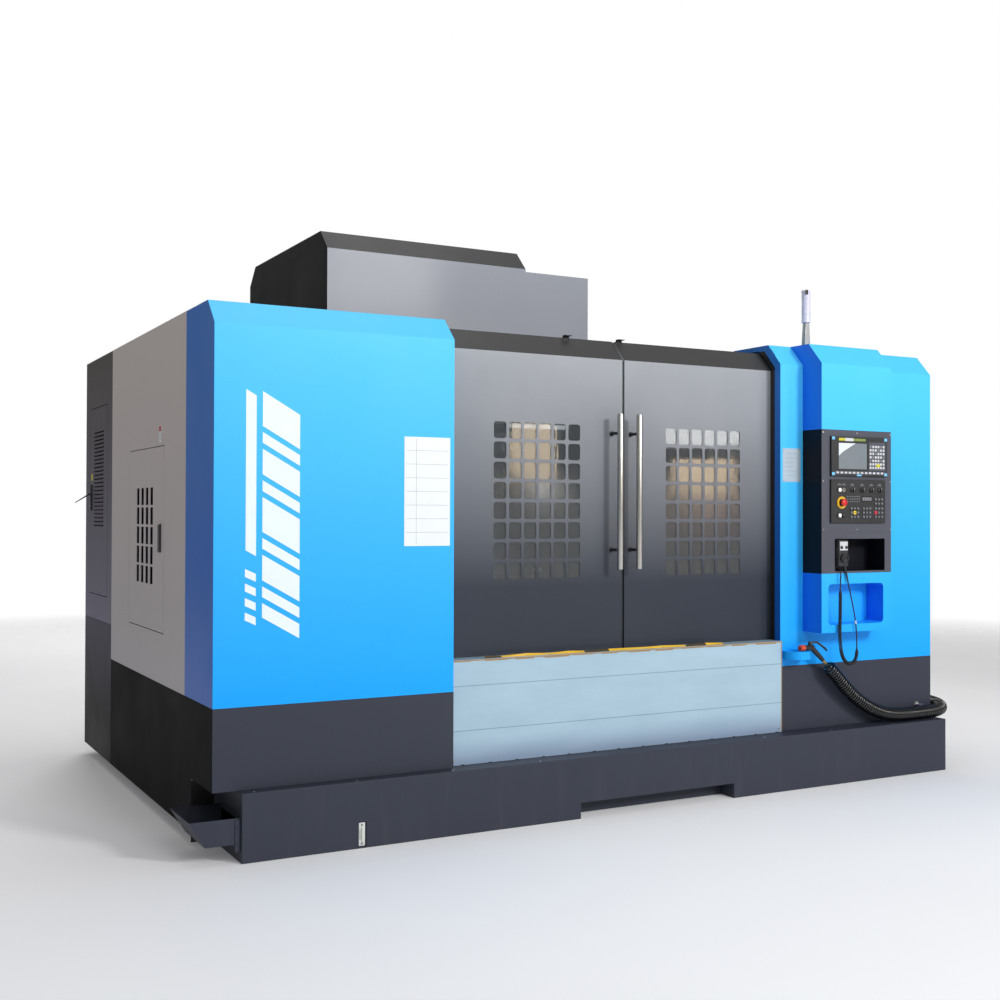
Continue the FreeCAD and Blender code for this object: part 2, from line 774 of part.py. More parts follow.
def door_tracks():
    """Upper and lower door rails across the whole front, and the seals beside the doors."""
    upper = box(sheet, machine_width - sheet, track_front, track_front + track_depth, track_bottom,
                track_bottom + track_height)
    upper = upper.cut(box(sheet - 1, machine_width, track_front + track_wall,
                          track_front + track_depth - track_wall, track_bottom + track_wall,
                          track_bottom + track_height - track_wall))
    lower_top = door_bottom - run_gap
    lower = box(sheet, machine_width - sheet, door_face - lower_track_lead,
                door_face + door_thickness + lower_track_cover,
                lower_top - lower_track_height, lower_top)
    seal_bottom = apron_top
    left_x = left_cover_width - sheet
    right_x = right_cover_left + sheet
    seal_front = door_lane_front - seal_lead
    left_seal = box(left_x - seal_width, left_x, seal_front, door_face - run_gap, seal_bottom, seal_top)
    right_seal = box(right_x, right_x + seal_width, seal_front, door_face - run_gap, seal_bottom,
                     seal_top)
    return [upper, lower, left_seal, right_seal]


# ---- control column ------------------------------------------------------------------------
def pocket_cut(block, pocket, corner):
    """Give a hollow box a pocket in its front face, with sheet walls all round."""
    x0, x1, z0, z1 = pocket
    rear = box_face + pocket_depth
    if corner:
        walls = round_block(x0 - sheet, x1 + sheet, z0 - sheet, z1 + sheet, corner + sheet,
                            box_face, rear + sheet)
        space = round_block(x0, x1, z0, z1, corner, box_face - 1, rear)
    else:
        walls = box(x0 - sheet, x1 + sheet, box_face, rear + sheet, z0 - sheet, z1 + sheet)
        space = box(x0, x1, box_face - 1, rear, z0, z1)
    return block.fuse(walls).cut(space)


def hollow_box(z0, z1):
    outer = box(box_left, box_right, box_face, right_face, z0, z1)
    return outer.cut(box(box_left + sheet, box_right - sheet, box_face + sheet, right_face - sheet,
                         z0 + sheet, z1 - sheet))


def control_housing():
    """Coloured casing of the control: the sloped upper box and the lower box with its pocket."""
    slope_back = box_face + box_slope_depth
    outline = [(box_face, fascia_top), (box_face, right_face_top), (slope_back, right_top),
               (right_face + right_chamfer_depth, right_top), (right_face, right_face_top),
               (right_face, fascia_top)]
    upper = prism(outline, "x", box_left, box_right)
    upper = upper.cut(prism(inset(outline, sheet), "x", box_left + sheet, box_right - sheet))
    lower = pocket_cut(hollow_box(box_bottom, fascia_bottom), blue_pocket, pocket_corner)
    return [upper, lower]


def fascia_screws():
    middle_x = (box_left + box_right) / 2
    middle_z = (fascia_split + fascia_top) / 2
    top, low = fascia_top - fascia_screw_drop, fascia_split + fascia_screw_rise
    left, right = box_left + fascia_screw_inset, box_right - fascia_screw_inset
    return [(middle_x, top), (middle_x, low), (left, middle_z), (right, middle_z), (left, low),
            (right, low), (left, top), (right, top)]


def unit_hole(frame, depth):
    x0, x1, z0, z1 = frame
    rim = unit_rim - 1
    return box(x0 + rim, x1 - rim, box_face - 1, box_face + depth, z0 + rim, z1 - rim)


def control_fascia():
    """Black middle module: openings for both units, the pendant's pocket and its hook."""
    module = pocket_cut(hollow_box(fascia_bottom, fascia_top), black_pocket, 0)
    groove = box(box_left - 1, box_right + 1, box_face - 1, box_face + 1.2,
                 fascia_split - split_groove / 2, fascia_split + split_groove / 2)
    cuts = [groove, unit_hole(screen_frame, 10), unit_hole(panel_frame, 10)]
    for x, z in fascia_screws():
        cuts.append(rod(3.3, vec(x, box_face - 1, z), vec(x, box_face + sheet + 1, z)))
    x0, z0 = black_pocket[0], pendant_bottom
    hook = box(x0, x0 + hook_thickness, box_face + 4, pendant_front + pendant_depth + 12,
               z0 + 50, z0 + 110)
    gland = rod(8, vec(tail_x, box_face + pocket_depth - 14, tail_z),
                vec(tail_x, box_face + pocket_depth, tail_z))
    return join(module.cut(Part.makeCompound(cuts)), hook, gland)


def screen_unit():
    """Display and keyboard unit: a rimmed frame standing proud, its body behind the fascia."""
    x0, x1, z0, z1 = screen_frame
    front = box_face - screen_stand
    rim = box(x0, x1, front, box_face, z0, z1)
    body = box(x0 + unit_rim, x1 - unit_rim, box_face, box_face + screen_body_depth,
               z0 + unit_rim, z1 - unit_rim)
    gx0, gx1, gz0, gz1 = screen_glass
    glass_well = box(gx0, gx1, front - 1, front + 2.5, gz0, gz1)
    return join(rim, body).cut(glass_well)


def operator_panel():
    """Operator panel with rings and stem holes for its buttons, selectors and emergency stop."""
    x0, x1, z0, z1 = panel_frame
    parts = [box(x0 + unit_rim, x1 - unit_rim, box_face, box_face + panel_body_depth,
                 z0 + unit_rim, z1 - unit_rim)]
    cuts = []
    sx, sz = stop_place
    parts.append(rod(stop_ring_radius, vec(sx, panel_face, sz), vec(sx, panel_face - 3, sz)))
    cuts.append(rod(9 + run_gap, vec(sx, panel_face - 4, sz), vec(sx, panel_face + 20, sz)))
    for x, z in button_places:
        ring = rod(button_radius + 3, vec(x, panel_face, z), vec(x, panel_face - ring_height, z))
        well = rod(button_radius + 0.6, vec(x, panel_face, z), vec(x, panel_face - ring_height - 1, z))
        parts.append(ring.cut(well))
        cuts.append(rod(stem_radius + run_gap, vec(x, panel_face - 1, z),
                        vec(x, panel_face + stem_depth + button_travel + 1, z)))
    for x in selector_places:
        cuts.append(rod(stem_radius + run_gap, vec(x, panel_face - 1, selector_row),
                        vec(x, panel_face + stem_depth + 1, selector_row)))
    plate = box(x0, x1, panel_face, box_face, z0, z1)
    return join(plate, *parts).cut(Part.makeCompound(cuts))


def emergency_stop():
    """Mushroom head on its stem."""
    x, z = stop_place
    front = panel_face - stop_height
    head = rod(stop_cap_radius, vec(x, front, z), vec(x, front + 12, z))
    head = head.makeFillet(5, [e for e in head.Edges if abs(e.BoundBox.YMin - front) < 0.1
                               and e.BoundBox.YLength < 0.1])
    stem = rod(9, vec(x, front + 12, z), vec(x, panel_face + 14, z))
    return head.fuse(stem)


def selector(x):
    """Rotary selector: a round base with a raised pointer grip."""
    near = panel_face - run_gap
    base = rod(selector_radius, vec(x, near, selector_row), vec(x, near - 6, selector_row))
    grip = box(x - 3.5, x + 3.5, near - selector_height, near - 6, selector_row - 12, selector_row + 12)
    stem = rod(stem_radius, vec(x, near, selector_row), vec(x, panel_face + stem_depth, selector_row))
    return join(base, grip, stem)


def push_button(place):
    x, z = place
    near = panel_face - button_travel - 1.2
    cap = rod(button_radius, vec(x, near, z), vec(x, near - 5, z))
    stem = rod(stem_radius, vec(x, near, z), vec(x, panel_face + stem_depth, z))
    return cap.fuse(stem)


def screw(x, y, z):
    """Button-head screw facing forward, its shank through the sheet."""
    head = rod(5, vec(x, y - 2.4, z), vec(x, y, z))
    return head.fuse(rod(3, vec(x, y, z), vec(x, y + 8, z)))


# ---- pendant and its cord ------------------------------------------------------------------
tail_x = pendant_left + 20
tail_z = black_pocket[2] + 12
tail_points = [
    (tail_x, box_face + pocket_depth - 14, tail_z), (tail_x, -30, tail_z),
    (tail_x + 1, -80, tail_z + 5), (tail_x, -115, tail_z - 15), (tail_x - 4, -112, tail_z - 70),
    (tail_x - 4, -112, tail_z - 124),
]
coil_points = [
    tail_points[-1], (tail_x - 4, -112, 950), (3426, -110, 800), (3443, -111, 703),
    (3482, -112, 664), (3522, -111, 664), (3553, -110, 692), (3553, -110, 735),
]
lead_points = [
    coil_points[-1], (3553, -110, 800), (3548, -109, 872), (3535, -109, 940), (3519, -108, 1005),
    (3503.4, -107.4, 1064.3), (3489, -106, 1121),
]
relief_root = (3468.5, -104.0, 1202.0)

hose_points = [
    (brass_end[0], gun_y, brass_end[1]), (brass_end[0] + 66, gun_y, brass_end[1] - 60),
    (3565, -13, 515), (3655, -12, 444), (3758, -11, 386), (3870, -10, 348), (3986, -9, 334.6),
    (4100, -8, 334.8), (4208, -6, 335.5), (4302, 3, 338), (4377, 42, 346), (4410, 115, 356),
    (4398, 190, 366), (4358, 236, 374), (machine_width, 236, 374),
]


def route(points):
    """Path of straight runs and tangent arcs, each arc as large as its two runs allow."""
    knots = [vec(*p) for p in points]
    lengths = [(b - a).Length for a, b in zip(knots, knots[1:])]
    edges = []
    radii = []
    here = knots[0]
    for i in range(1, len(knots) - 1):
        back = (knots[i - 1] - knots[i]).normalize()
        ahead = (knots[i + 1] - knots[i]).normalize()
        turn = math.pi - back.getAngle(ahead)
        reach = 0.45 * min(lengths[i - 1], lengths[i])
        radii.append(reach / math.tan(turn / 2))
        start = knots[i] + back * reach
        end = knots[i] + ahead * reach
        bisector = (back + ahead).normalize()
        middle = knots[i] + bisector * (radii[-1] / math.cos(turn / 2) - radii[-1])
        edges.append(Part.LineSegment(here, start).toShape())
        edges.append(Part.Arc(start, middle, end).toShape())
        here = end
    edges.append(Part.LineSegment(here, knots[-1]).toShape())
    return Part.Wire(edges), radii


def cord(name, points, radius):
    """A round tube along a route, with its smallest radius and its volume printed."""
    path, radii = route(points)
    start = vec(*points[0])
    direction = (vec(*points[1]) - start).normalize()
    profile = Part.Wire([Part.Circle(start, direction, radius).toShape()])
    tube = path.makePipeShell([profile], True, False)
    expected = math.pi * radius ** 2 * path.Length
    radii_text = " ".join(f"{value:.0f}" for value in radii)
    print(f"{name}: length {path.Length:.0f}, radii {radii_text}, "
          f"volume ratio {tube.Volume / expected:.4f}")
    return tube


def pendant_body():
    """Hand-wheel pendant: a rounded case, its knob spindles and the slanted strain relief."""
    x0, x1 = pendant_left, pendant_left + pendant_width
    case = round_block(x0, x1, pendant_bottom, pendant_bottom + pendant_height, 10,
                       pendant_front, pendant_front + pendant_depth)
    x, z = (x0 + x1) / 2, pendant_bottom
    holes = [rod(3 + run_gap, vec(x, pendant_front - 1, z + wheel_drop),
                 vec(x, pendant_front + 12, z + wheel_drop))]
    for side in (-1, 1):
        kx = x + side * knob_spread
        holes.append(rod(2 + run_gap, vec(kx, pendant_front - 1, z + knob_rise),
                         vec(kx, pendant_front + 10, z + knob_rise)))
    relief = cone(relief_radius, pendant_cord_radius + 0.8, vec(*relief_root), vec(*lead_points[-1]))
    return join(case, relief).cut(Part.makeCompound(holes))


def pendant_wheel():
    """Hand wheel with its rim groove and a small crank knob."""
    x, z = pendant_left + pendant_width / 2, pendant_bottom + wheel_drop
    near = pendant_front - run_gap
    wheel = rod(wheel_radius, vec(x, near, z), vec(x, near - wheel_height, z))
    dish = rod(wheel_radius - 6, vec(x, near - wheel_height + 3, z), vec(x, near - wheel_height - 1, z))
    hub = rod(9, vec(x, near - wheel_height + 3, z), vec(x, near - wheel_height, z))
    crank = rod(4, vec(x + 14, near - wheel_height + 3, z), vec(x + 14, near - wheel_height - 9, z))
    shaft = rod(3, vec(x, near, z), vec(x, pendant_front + 10, z))
    return join(wheel.cut(dish), hub, crank, shaft)


def pendant_knob(side):
    x = pendant_left + pendant_width / 2 + side * knob_spread
    z = pendant_bottom + knob_rise
    near = pendant_front - run_gap
    knob = rod(knob_radius, vec(x, near, z), vec(x, near - 4, z))
    grip = box(x - 2.5, x + 2.5, near - knob_height, near - 4, z - 7, z + 7)
    return join(knob, grip, rod(2, vec(x, near, z), vec(x, pendant_front + 8, z)))


# ---- gun, holder, lamp ---------------------------------------------------------------------
def gun_holder():
    """Formed cup on the right cover: a round-nosed shell with a hole through its top plate."""
    cx = cup_left + cup_width / 2
    nose_y = right_face - cup_reach + cup_width / 2
    bottom = cup_top - cup_height

    def block(shrink, z0, z1):
        radius = cup_width / 2 - shrink
        nose = rod(radius, vec(cx, nose_y, z0), vec(cx, nose_y, z1))
        return join(nose, box(cx - radius, cx + radius, nose_y, right_face, z0, z1))

    shell = block(0, bottom, cup_top).cut(block(sheet, bottom - 1, cup_top - sheet))
    hole = rod(cup_hole_radius, vec(cx - 10, nose_y, bottom), vec(cx - 10, nose_y, cup_top + 1))
    behind_face = box(cup_left - 1, cup_left + cup_width + 1, right_face, right_face + cup_width,
                      bottom - 1, cup_top + 1)
    return shell.cut(hole).cut(behind_face)


def spray_gun():
    """Wash-down gun resting on the cup: nozzle ring, barrel, grip and brass tail."""
    start = nozzle_left + nozzle_length
    nozzle = cone(nozzle_radius - 2, nozzle_radius, vec(nozzle_left, gun_y, barrel_z),
                  vec(start, gun_y, barrel_z))
    nozzle = nozzle.cut(rod(7, vec(nozzle_left - 1, gun_y, barrel_z),
                            vec(nozzle_left + 18, gun_y, barrel_z)))
    barrel = rod(barrel_radius, vec(start, gun_y, barrel_z),
                 vec(start + barrel_length, gun_y, barrel_z))
    top = vec(grip_top[0], gun_y, grip_top[1])
    end = vec(grip_end[0], gun_y, grip_end[1])
    grip = cone(grip_radius + 1.5, grip_radius - 1.5, top, end)
    px, pz = trigger_pivot
    ear = box(px - 8, px + 8, gun_y - 9, gun_y + 9, barrel_z, pz + 6)
    fork = box(px - 9, px + 9, gun_y - 4 - run_gap, gun_y + 4 + run_gap, barrel_z + barrel_radius + 1, pz + 7)
    pin = rod(2, vec(px, gun_y - 9, pz), vec(px, gun_y + 9, pz))
    body = join(join(barrel, grip, ear).cut(fork), pin)
    tail = rod(8, end, vec(brass_end[0], gun_y, brass_end[1]))
    return [nozzle, body, tail]


def gun_trigger():
    """Lever over the grip, turning on the pin in the gun's ears."""
    px, pz = trigger_pivot
    outline = [(px - 6, pz - 4), (px - 6, pz + 5), (px + 50, pz + 5), (px + 110, pz - 32),
               (px + 124, pz - 48), (px + 118, pz - 54), (px + 102, pz - 40), (px + 46, pz - 4)]
    blade = prism(outline, "y", gun_y - 4, gun_y + 4)
    hole = rod(2 + run_gap, vec(px, gun_y - 5, pz), vec(px, gun_y + 5, pz))
    return blade.cut(hole)


def tower_lamp():
    """Tapered folding bracket with a signal tube on top."""
    foot = right_top
    bracket = prism([(lamp_x - 22, foot), (lamp_x + 22, foot), (lamp_x + 13, foot + lamp_bracket_height),
                     (lamp_x - 13, foot + lamp_bracket_height)], "y", lamp_y - 14, lamp_y + 14)
    tube_bottom = foot + lamp_bracket_height
    tube = rod(lamp_tube_radius, vec(lamp_x, lamp_y, tube_bottom),
               vec(lamp_x, lamp_y, tube_bottom + lamp_tube_height - 10))
    cap = rod(lamp_tube_radius, vec(lamp_x, lamp_y, tube_bottom + lamp_tube_height - 10),
              vec(lamp_x, lamp_y, tube_bottom + lamp_tube_height))
    return [bracket, tube, cap]


# ---- machine inside ------------------------------------------------------------------------
def machine_bed():
    """Cast bed with integral box ways, a column seat, bearing blocks and pockets underneath."""
    x0, x1 = centre_x - bed_half_width, centre_x + bed_half_width
    body = box(x0, x1, bed_front, bed_back, bed_bottom, bed_top)
    nose = box(x0 + 200, x1 - 200, bed_nose_front, bed_front, tank_top + 35, bed_top)
    seat = box(centre_x - 450, centre_x + 450, seat_front, bed_back, bed_top, seat_top)
    ways = []
    for side in (-1, 1):
        wx = centre_x + side * way_half_span
        ways.append(box(wx - way_width / 2, wx + way_width / 2, bed_nose_front, seat_front, bed_top, way_top))
    screw_z = (bed_top + way_top) / 2
    blocks = [box(centre_x - 45, centre_x + 45, y, y + 40, bed_top, way_top - 12)
              for y in (bed_nose_front + 20, seat_front - 50)]
    bed = join(body, nose, seat, *ways, *blocks)
    cell_x = (2 * bed_half_width - 3 * bed_wall) / 2
    cell_y = (bed_back - bed_front - 4 * bed_wall) / 3
    pockets = []
    for i in range(2):
        for j in range(3):
            px = x0 + bed_wall + i * (cell_x + bed_wall)
            py = bed_front + bed_wall + j * (cell_y + bed_wall)
            pockets.append(box(px, px + cell_x, py, py + cell_y, bed_bottom - 1, bed_top - 70))
    shaft = rod(feed_screw_radius + run_gap, vec(centre_x, bed_nose_front - 1, screw_z),
                vec(centre_x, seat_front, screw_z))
    return bed.cut(Part.makeCompound(pockets + [shaft]))


def levelling_pads():
    """Eight round feet with their adjusting studs."""
    pads = []
    for side in (-1, 1):
        x = centre_x + side * (bed_half_width - bed_wall / 2)
        for k in range(4):
            y = bed_front + bed_wall / 2 + k * (bed_back - bed_front - bed_wall) / 3
            pad = rod(pad_radius, vec(x, y, 0), vec(x, y, pad_thickness))
            pads.append(pad.fuse(rod(pad_stud_radius, vec(x, y, pad_thickness), vec(x, y, bed_bottom))))
    return pads


def saddle():
    """Cross slide: bears on the bed's ways and carries its own ways for the table."""
    x0, x1 = centre_x - saddle_half_length, centre_x + saddle_half_length
    y0, y1 = spindle_y - saddle_half_depth, spindle_y + saddle_half_depth
    base = way_top + run_gap
    body = box(x0, x1, y0, y1, base, saddle_top)
    ways = []
    for side in (-1, 1):
        wy = spindle_y + side * cross_way_half_span
        ways.append(box(x0, x1, wy - cross_way_width / 2, wy + cross_way_width / 2, saddle_top,
                        table_bottom - run_gap))
    size = screw_block_width
    blocks = [box(x, x + size, spindle_y - size, spindle_y + size, saddle_top, table_bottom - 4)
              for x in (x0, x1 - size)]
    screw_z = (bed_top + way_top) / 2
    nut = box(centre_x - saddle_nut_half, centre_x + saddle_nut_half, spindle_y - saddle_nut_half,
              spindle_y + saddle_nut_half, bed_top + 4, base)
    body = join(body, nut, *ways, *blocks)
    margin = saddle_pocket_margin
    pockets = [box(x, x + saddle_pocket_length, y0 + margin, y1 - margin, base - 1,
                   saddle_top - saddle_roof_thickness)
               for x in (x0 + size, x1 - size - saddle_pocket_length)]
    nut_hole = rod(feed_screw_radius + run_gap, vec(centre_x, y0, screw_z), vec(centre_x, y1, screw_z))
    cross_z = saddle_top + cross_screw_rise
    cross_hole = rod(feed_screw_radius + run_gap, vec(x0 - 1, spindle_y, cross_z),
                     vec(x1 + 1, spindle_y, cross_z))
    return body.cut(Part.makeCompound(pockets + [nut_hole, cross_hole]))


def table():
    """Work table with T-slots along its length and the cross nut below."""
    x0, x1 = centre_x - table_half_length, centre_x + table_half_length
    y0, y1 = spindle_y - table_half_depth, spindle_y + table_half_depth
    plate = box(x0, x1, y0, y1, table_bottom, table_top)
    cross_z = saddle_top + cross_screw_rise
    nut = box(centre_x - table_nut_half_length, centre_x + table_nut_half_length,
              spindle_y - table_nut_half_width, spindle_y + table_nut_half_width, saddle_top + 3,
              table_bottom)
    cuts = [rod(feed_screw_radius + run_gap, vec(centre_x - 60, spindle_y, cross_z),
                vec(centre_x + 60, spindle_y, cross_z))]
    for y in slot_rows():
        cuts.append(box(x0 - 1, x1 + 1, y - slot_width / 2, y + slot_width / 2,
                        table_top - slot_depth, table_top + 1))
        cuts.append(box(x0 - 1, x1 + 1, y - slot_foot_width / 2, y + slot_foot_width / 2,
                        table_top - slot_depth - slot_foot_depth, table_top - slot_depth))
    return join(plate, nut).cut(Part.makeCompound(cuts))


def slot_rows():
    return [spindle_y + (i - (slot_count - 1) / 2) * slot_pitch for i in range(slot_count)]


def feed_screw(start, end):
    """Ball screw: a full-diameter shaft with turned-down ends."""
    axis = (end - start).normalize()
    low, high = start + axis * screw_end_length, end - axis * screw_end_length
    return join(rod(feed_screw_radius, low, high), rod(screw_end_radius, start, low),
                rod(screw_end_radius, high, end))


def column():
    """Hollow cast column with upright box ways and bearing blocks for the upright screw."""
    x0, x1 = centre_x - column_half_width, centre_x + column_half_width
    body = box(x0, x1, column_front, column_back, seat_top, column_top)
    hollow = box(x0 + column_wall, x1 - column_wall, column_front + column_wall,
                 column_back - column_wall, seat_top - 1, column_top - 2 * column_wall)
    ways = []
    for side in (-1, 1):
        wx = centre_x + side * upright_way_half_span
        ways.append(box(wx - upright_way_width / 2, wx + upright_way_width / 2,
                        column_front - upright_way_depth, column_front, upright_way_bottom, column_top))
    blocks = [box(centre_x - column_block_half_width, centre_x + column_block_half_width,
                  column_front - bearing_block_depth, column_front, z, z + column_block_height)
              for z in (upright_way_bottom + column_block_rise, column_top - column_block_height)]
    screw_y = column_front - upright_screw_stand
    shaft = rod(feed_screw_radius + run_gap, vec(centre_x, screw_y, upright_way_bottom),
                vec(centre_x, screw_y, column_top + 1))
    return join(body.cut(hollow), *ways, *blocks).cut(shaft)


def spindle_head():
    """Head casting: slide, nose, belt cover and drive motor over the slide."""
    nose = rod(nose_radius, vec(centre_x, spindle_y, nose_bottom), vec(centre_x, spindle_y, head_bottom))
    body = box(centre_x - head_half_width, centre_x + head_half_width, head_front, slide_front,
               head_bottom, head_top)
    slide = box(centre_x - slide_half_width, centre_x + slide_half_width, slide_front, slide_back,
                nose_bottom, slide_top)
    belt_top = head_top + belt_cover_height
    belt_cover = box(centre_x - belt_cover_half_width, centre_x + belt_cover_half_width,
                     spindle_y - belt_cover_lead, belt_cover_back, head_top, belt_top)
    motor = rod(drive_motor_radius, vec(centre_x, drive_motor_y, belt_top),
                vec(centre_x, drive_motor_y, head_top + drive_motor_top))
    nut = box(centre_x - head_nut_half_width, centre_x + head_nut_half_width, slide_back,
              column_front - head_nut_gap, head_top, head_top + head_nut_height)
    head = join(nose, body, slide, belt_cover, motor, nut)
    bore = rod(spindle_radius + run_gap, vec(centre_x, spindle_y, nose_bottom - 1),
               vec(centre_x, spindle_y, head_top - 8))
    screw_y = column_front - upright_screw_stand
    shaft = rod(feed_screw_radius + run_gap, vec(centre_x, screw_y, head_top - 1),
                vec(centre_x, screw_y, head_top + head_nut_height + 1))
    relief, upper_relief = [
        box(centre_x - head_relief_half_width, centre_x + head_relief_half_width,
            slide_back - head_relief_depth, slide_back + 1, z0, z1)
        for z0, z1 in ((nose_bottom - 1, head_top), (head_top + head_nut_height, slide_top + 1))]
    return head.cut(Part.makeCompound([bore, shaft, relief, upper_relief]))


def spindle():
    """Spindle with its nose flange, drive keys and a taper socket."""
    low = nose_bottom - spindle_flange_height
    shaft = rod(spindle_radius, vec(centre_x, spindle_y, nose_bottom - run_gap),
                vec(centre_x, spindle_y, head_top - 10))
    flange = rod(spindle_flange_radius, vec(centre_x, spindle_y, low),
                 vec(centre_x, spindle_y, nose_bottom - run_gap))
    keys = []
    for side in (-1, 1):
        x = centre_x + side * drive_key_place
        keys.append(box(x - drive_key_half_length, x + drive_key_half_length,
                        spindle_y - drive_key_half_width, spindle_y + drive_key_half_width,
                        low - drive_key_height, low))
    socket = cone(taper_mouth_radius, taper_end_radius, vec(centre_x, spindle_y, low - 0.01),
                  vec(centre_x, spindle_y, low + taper_depth))
    well = rod(taper_end_radius, vec(centre_x, spindle_y, low + taper_depth - 1),
               vec(centre_x, spindle_y, low + taper_depth + well_length))
    return join(shaft, flange, *keys).cut(socket).cut(well)


def feed_motors():
    """Servo motors of the bed screw and the upright screw."""
    screw_z = (bed_top + way_top) / 2
    front = box(centre_x - bed_motor_half_width, centre_x + bed_motor_half_width,
                bed_nose_front - bed_motor_length, bed_nose_front,
                screw_z - bed_motor_half_height, screw_z + bed_motor_half_height)
    y = column_front - upright_screw_stand
    half = top_motor_half_width
    top = box(centre_x - half, centre_x + half, y - half, y + half, column_top,
              column_top + top_motor_height)
    return [front, top]


def magazine_frame():
    """Cast bracket on the column's left side with the disc plate and the change arm's gearbox."""
    x0 = frame_plate_left
    x1 = x0 + frame_plate_thickness
    y0, y1 = spindle_y - cam_box_half_depth, spindle_y + cam_box_half_depth
    box_start = arm_centre_x - cam_box_half_width
    plate = box(x0, x1, spindle_y - frame_plate_lead, frame_plate_back, disc_z - frame_plate_drop,
                disc_z + frame_plate_rise)
    beam = box(x1, centre_x - column_half_width, frame_beam_front, frame_beam_back,
               disc_z - frame_beam_drop, disc_z + frame_plate_rise)
    boss = box(x1, box_start, y0, y1, cam_box_bottom, cam_box_top)
    gearbox = box(box_start, arm_centre_x + cam_box_half_width, y0, y1, cam_box_bottom, cam_box_top)
    bore = rod(arm_shaft_radius + run_gap, vec(arm_centre_x, spindle_y, cam_box_bottom - 1),
               vec(arm_centre_x, spindle_y, arm_shaft_top + 2))
    return join(plate, beam, boss, gearbox).cut(bore)


def tool_disc():
    """Magazine disc with its ring of tool pots, turning on a hub against the frame plate."""
    x0, x1 = disc_plate_left, disc_plate_left + disc_plate_thickness
    plate = rod(disc_radius, vec(x0, spindle_y, disc_z), vec(x1, spindle_y, disc_z))
    hub = rod(disc_hub_radius, vec(x1, spindle_y, disc_z),
              vec(frame_plate_left - run_gap, spindle_y, disc_z))
    pots = []
    for k in range(pot_count):
        angle = 2 * math.pi * k / pot_count
        y = spindle_y + pot_circle * math.cos(angle)
        z = disc_z + pot_circle * math.sin(angle)
        pot = rod(pot_radius, vec(x0 - pot_length, y, z), vec(x0, y, z))
        pots.append(pot.cut(cone(taper_mouth_radius, taper_end_radius, vec(x0 - pot_length - 0.01, y, z),
                                 vec(x0 - pot_length + taper_depth, y, z))))
    return join(plate, hub, *pots)


def arm_shaft():
    return rod(arm_shaft_radius, vec(arm_centre_x, spindle_y, arm_top),
               vec(arm_centre_x, spindle_y, arm_shaft_top))


def change_arm():
    """Double-ended tool arm with an open gripper at each end."""
    bar = box(arm_centre_x - arm_half_width, arm_centre_x + arm_half_width, spindle_y - arm_reach,
              spindle_y + arm_reach, arm_bottom, arm_top)
    hub = rod(arm_hub_radius, vec(arm_centre_x, spindle_y, arm_bottom), vec(arm_centre_x, spindle_y, arm_top))
    ends = []
    jaws = []
    for side in (-1, 1):
        y = spindle_y + side * arm_reach
        ends.append(rod(gripper_radius, vec(arm_centre_x, y, arm_bottom + gripper_step),
                        vec(arm_centre_x, y, arm_top - gripper_step)))
        jaws.append(rod(jaw_radius, vec(arm_centre_x, y, arm_bottom), vec(arm_centre_x, y, arm_top)))
        jaws.append(box(arm_centre_x - jaw_mouth_length * (side > 0),
                        arm_centre_x + jaw_mouth_length * (side < 0),
                        y - jaw_mouth_half_width, y + jaw_mouth_half_width, arm_bottom, arm_top))
    return join(bar, hub, *ends).cut(Part.makeCompound(jaws))


def splash_guards():
    """Inner walls of the work zone and the chip slopes beside the bed."""
    right = 2 * centre_x - liner_left
    column_side = centre_x - column_half_width - 20
    walls = [box(liner_left, liner_left + sheet, liner_front, liner_back, liner_bottom, liner_top),
             box(right - sheet, right, liner_front, liner_back, liner_bottom, liner_top)]
    for x0, x1 in ((liner_left, frame_plate_left - 160), (2 * centre_x - column_side, right)):
        walls.append(box(x0, x1, liner_back, liner_back + sheet, liner_bottom, liner_top))
    bed_side = centre_x - bed_half_width
    slope = [(liner_left + sheet, liner_bottom), (liner_left + sheet, liner_bottom - sheet),
             (bed_side, bed_top - 80), (bed_side, bed_top - 80 + sheet)]
    left_floor = prism(slope, "y", liner_front, liner_back)
    mirrored = [(2 * centre_x - x, z) for x, z in slope]
    return walls + [left_floor, prism(mirrored, "y", liner_front, liner_back)]


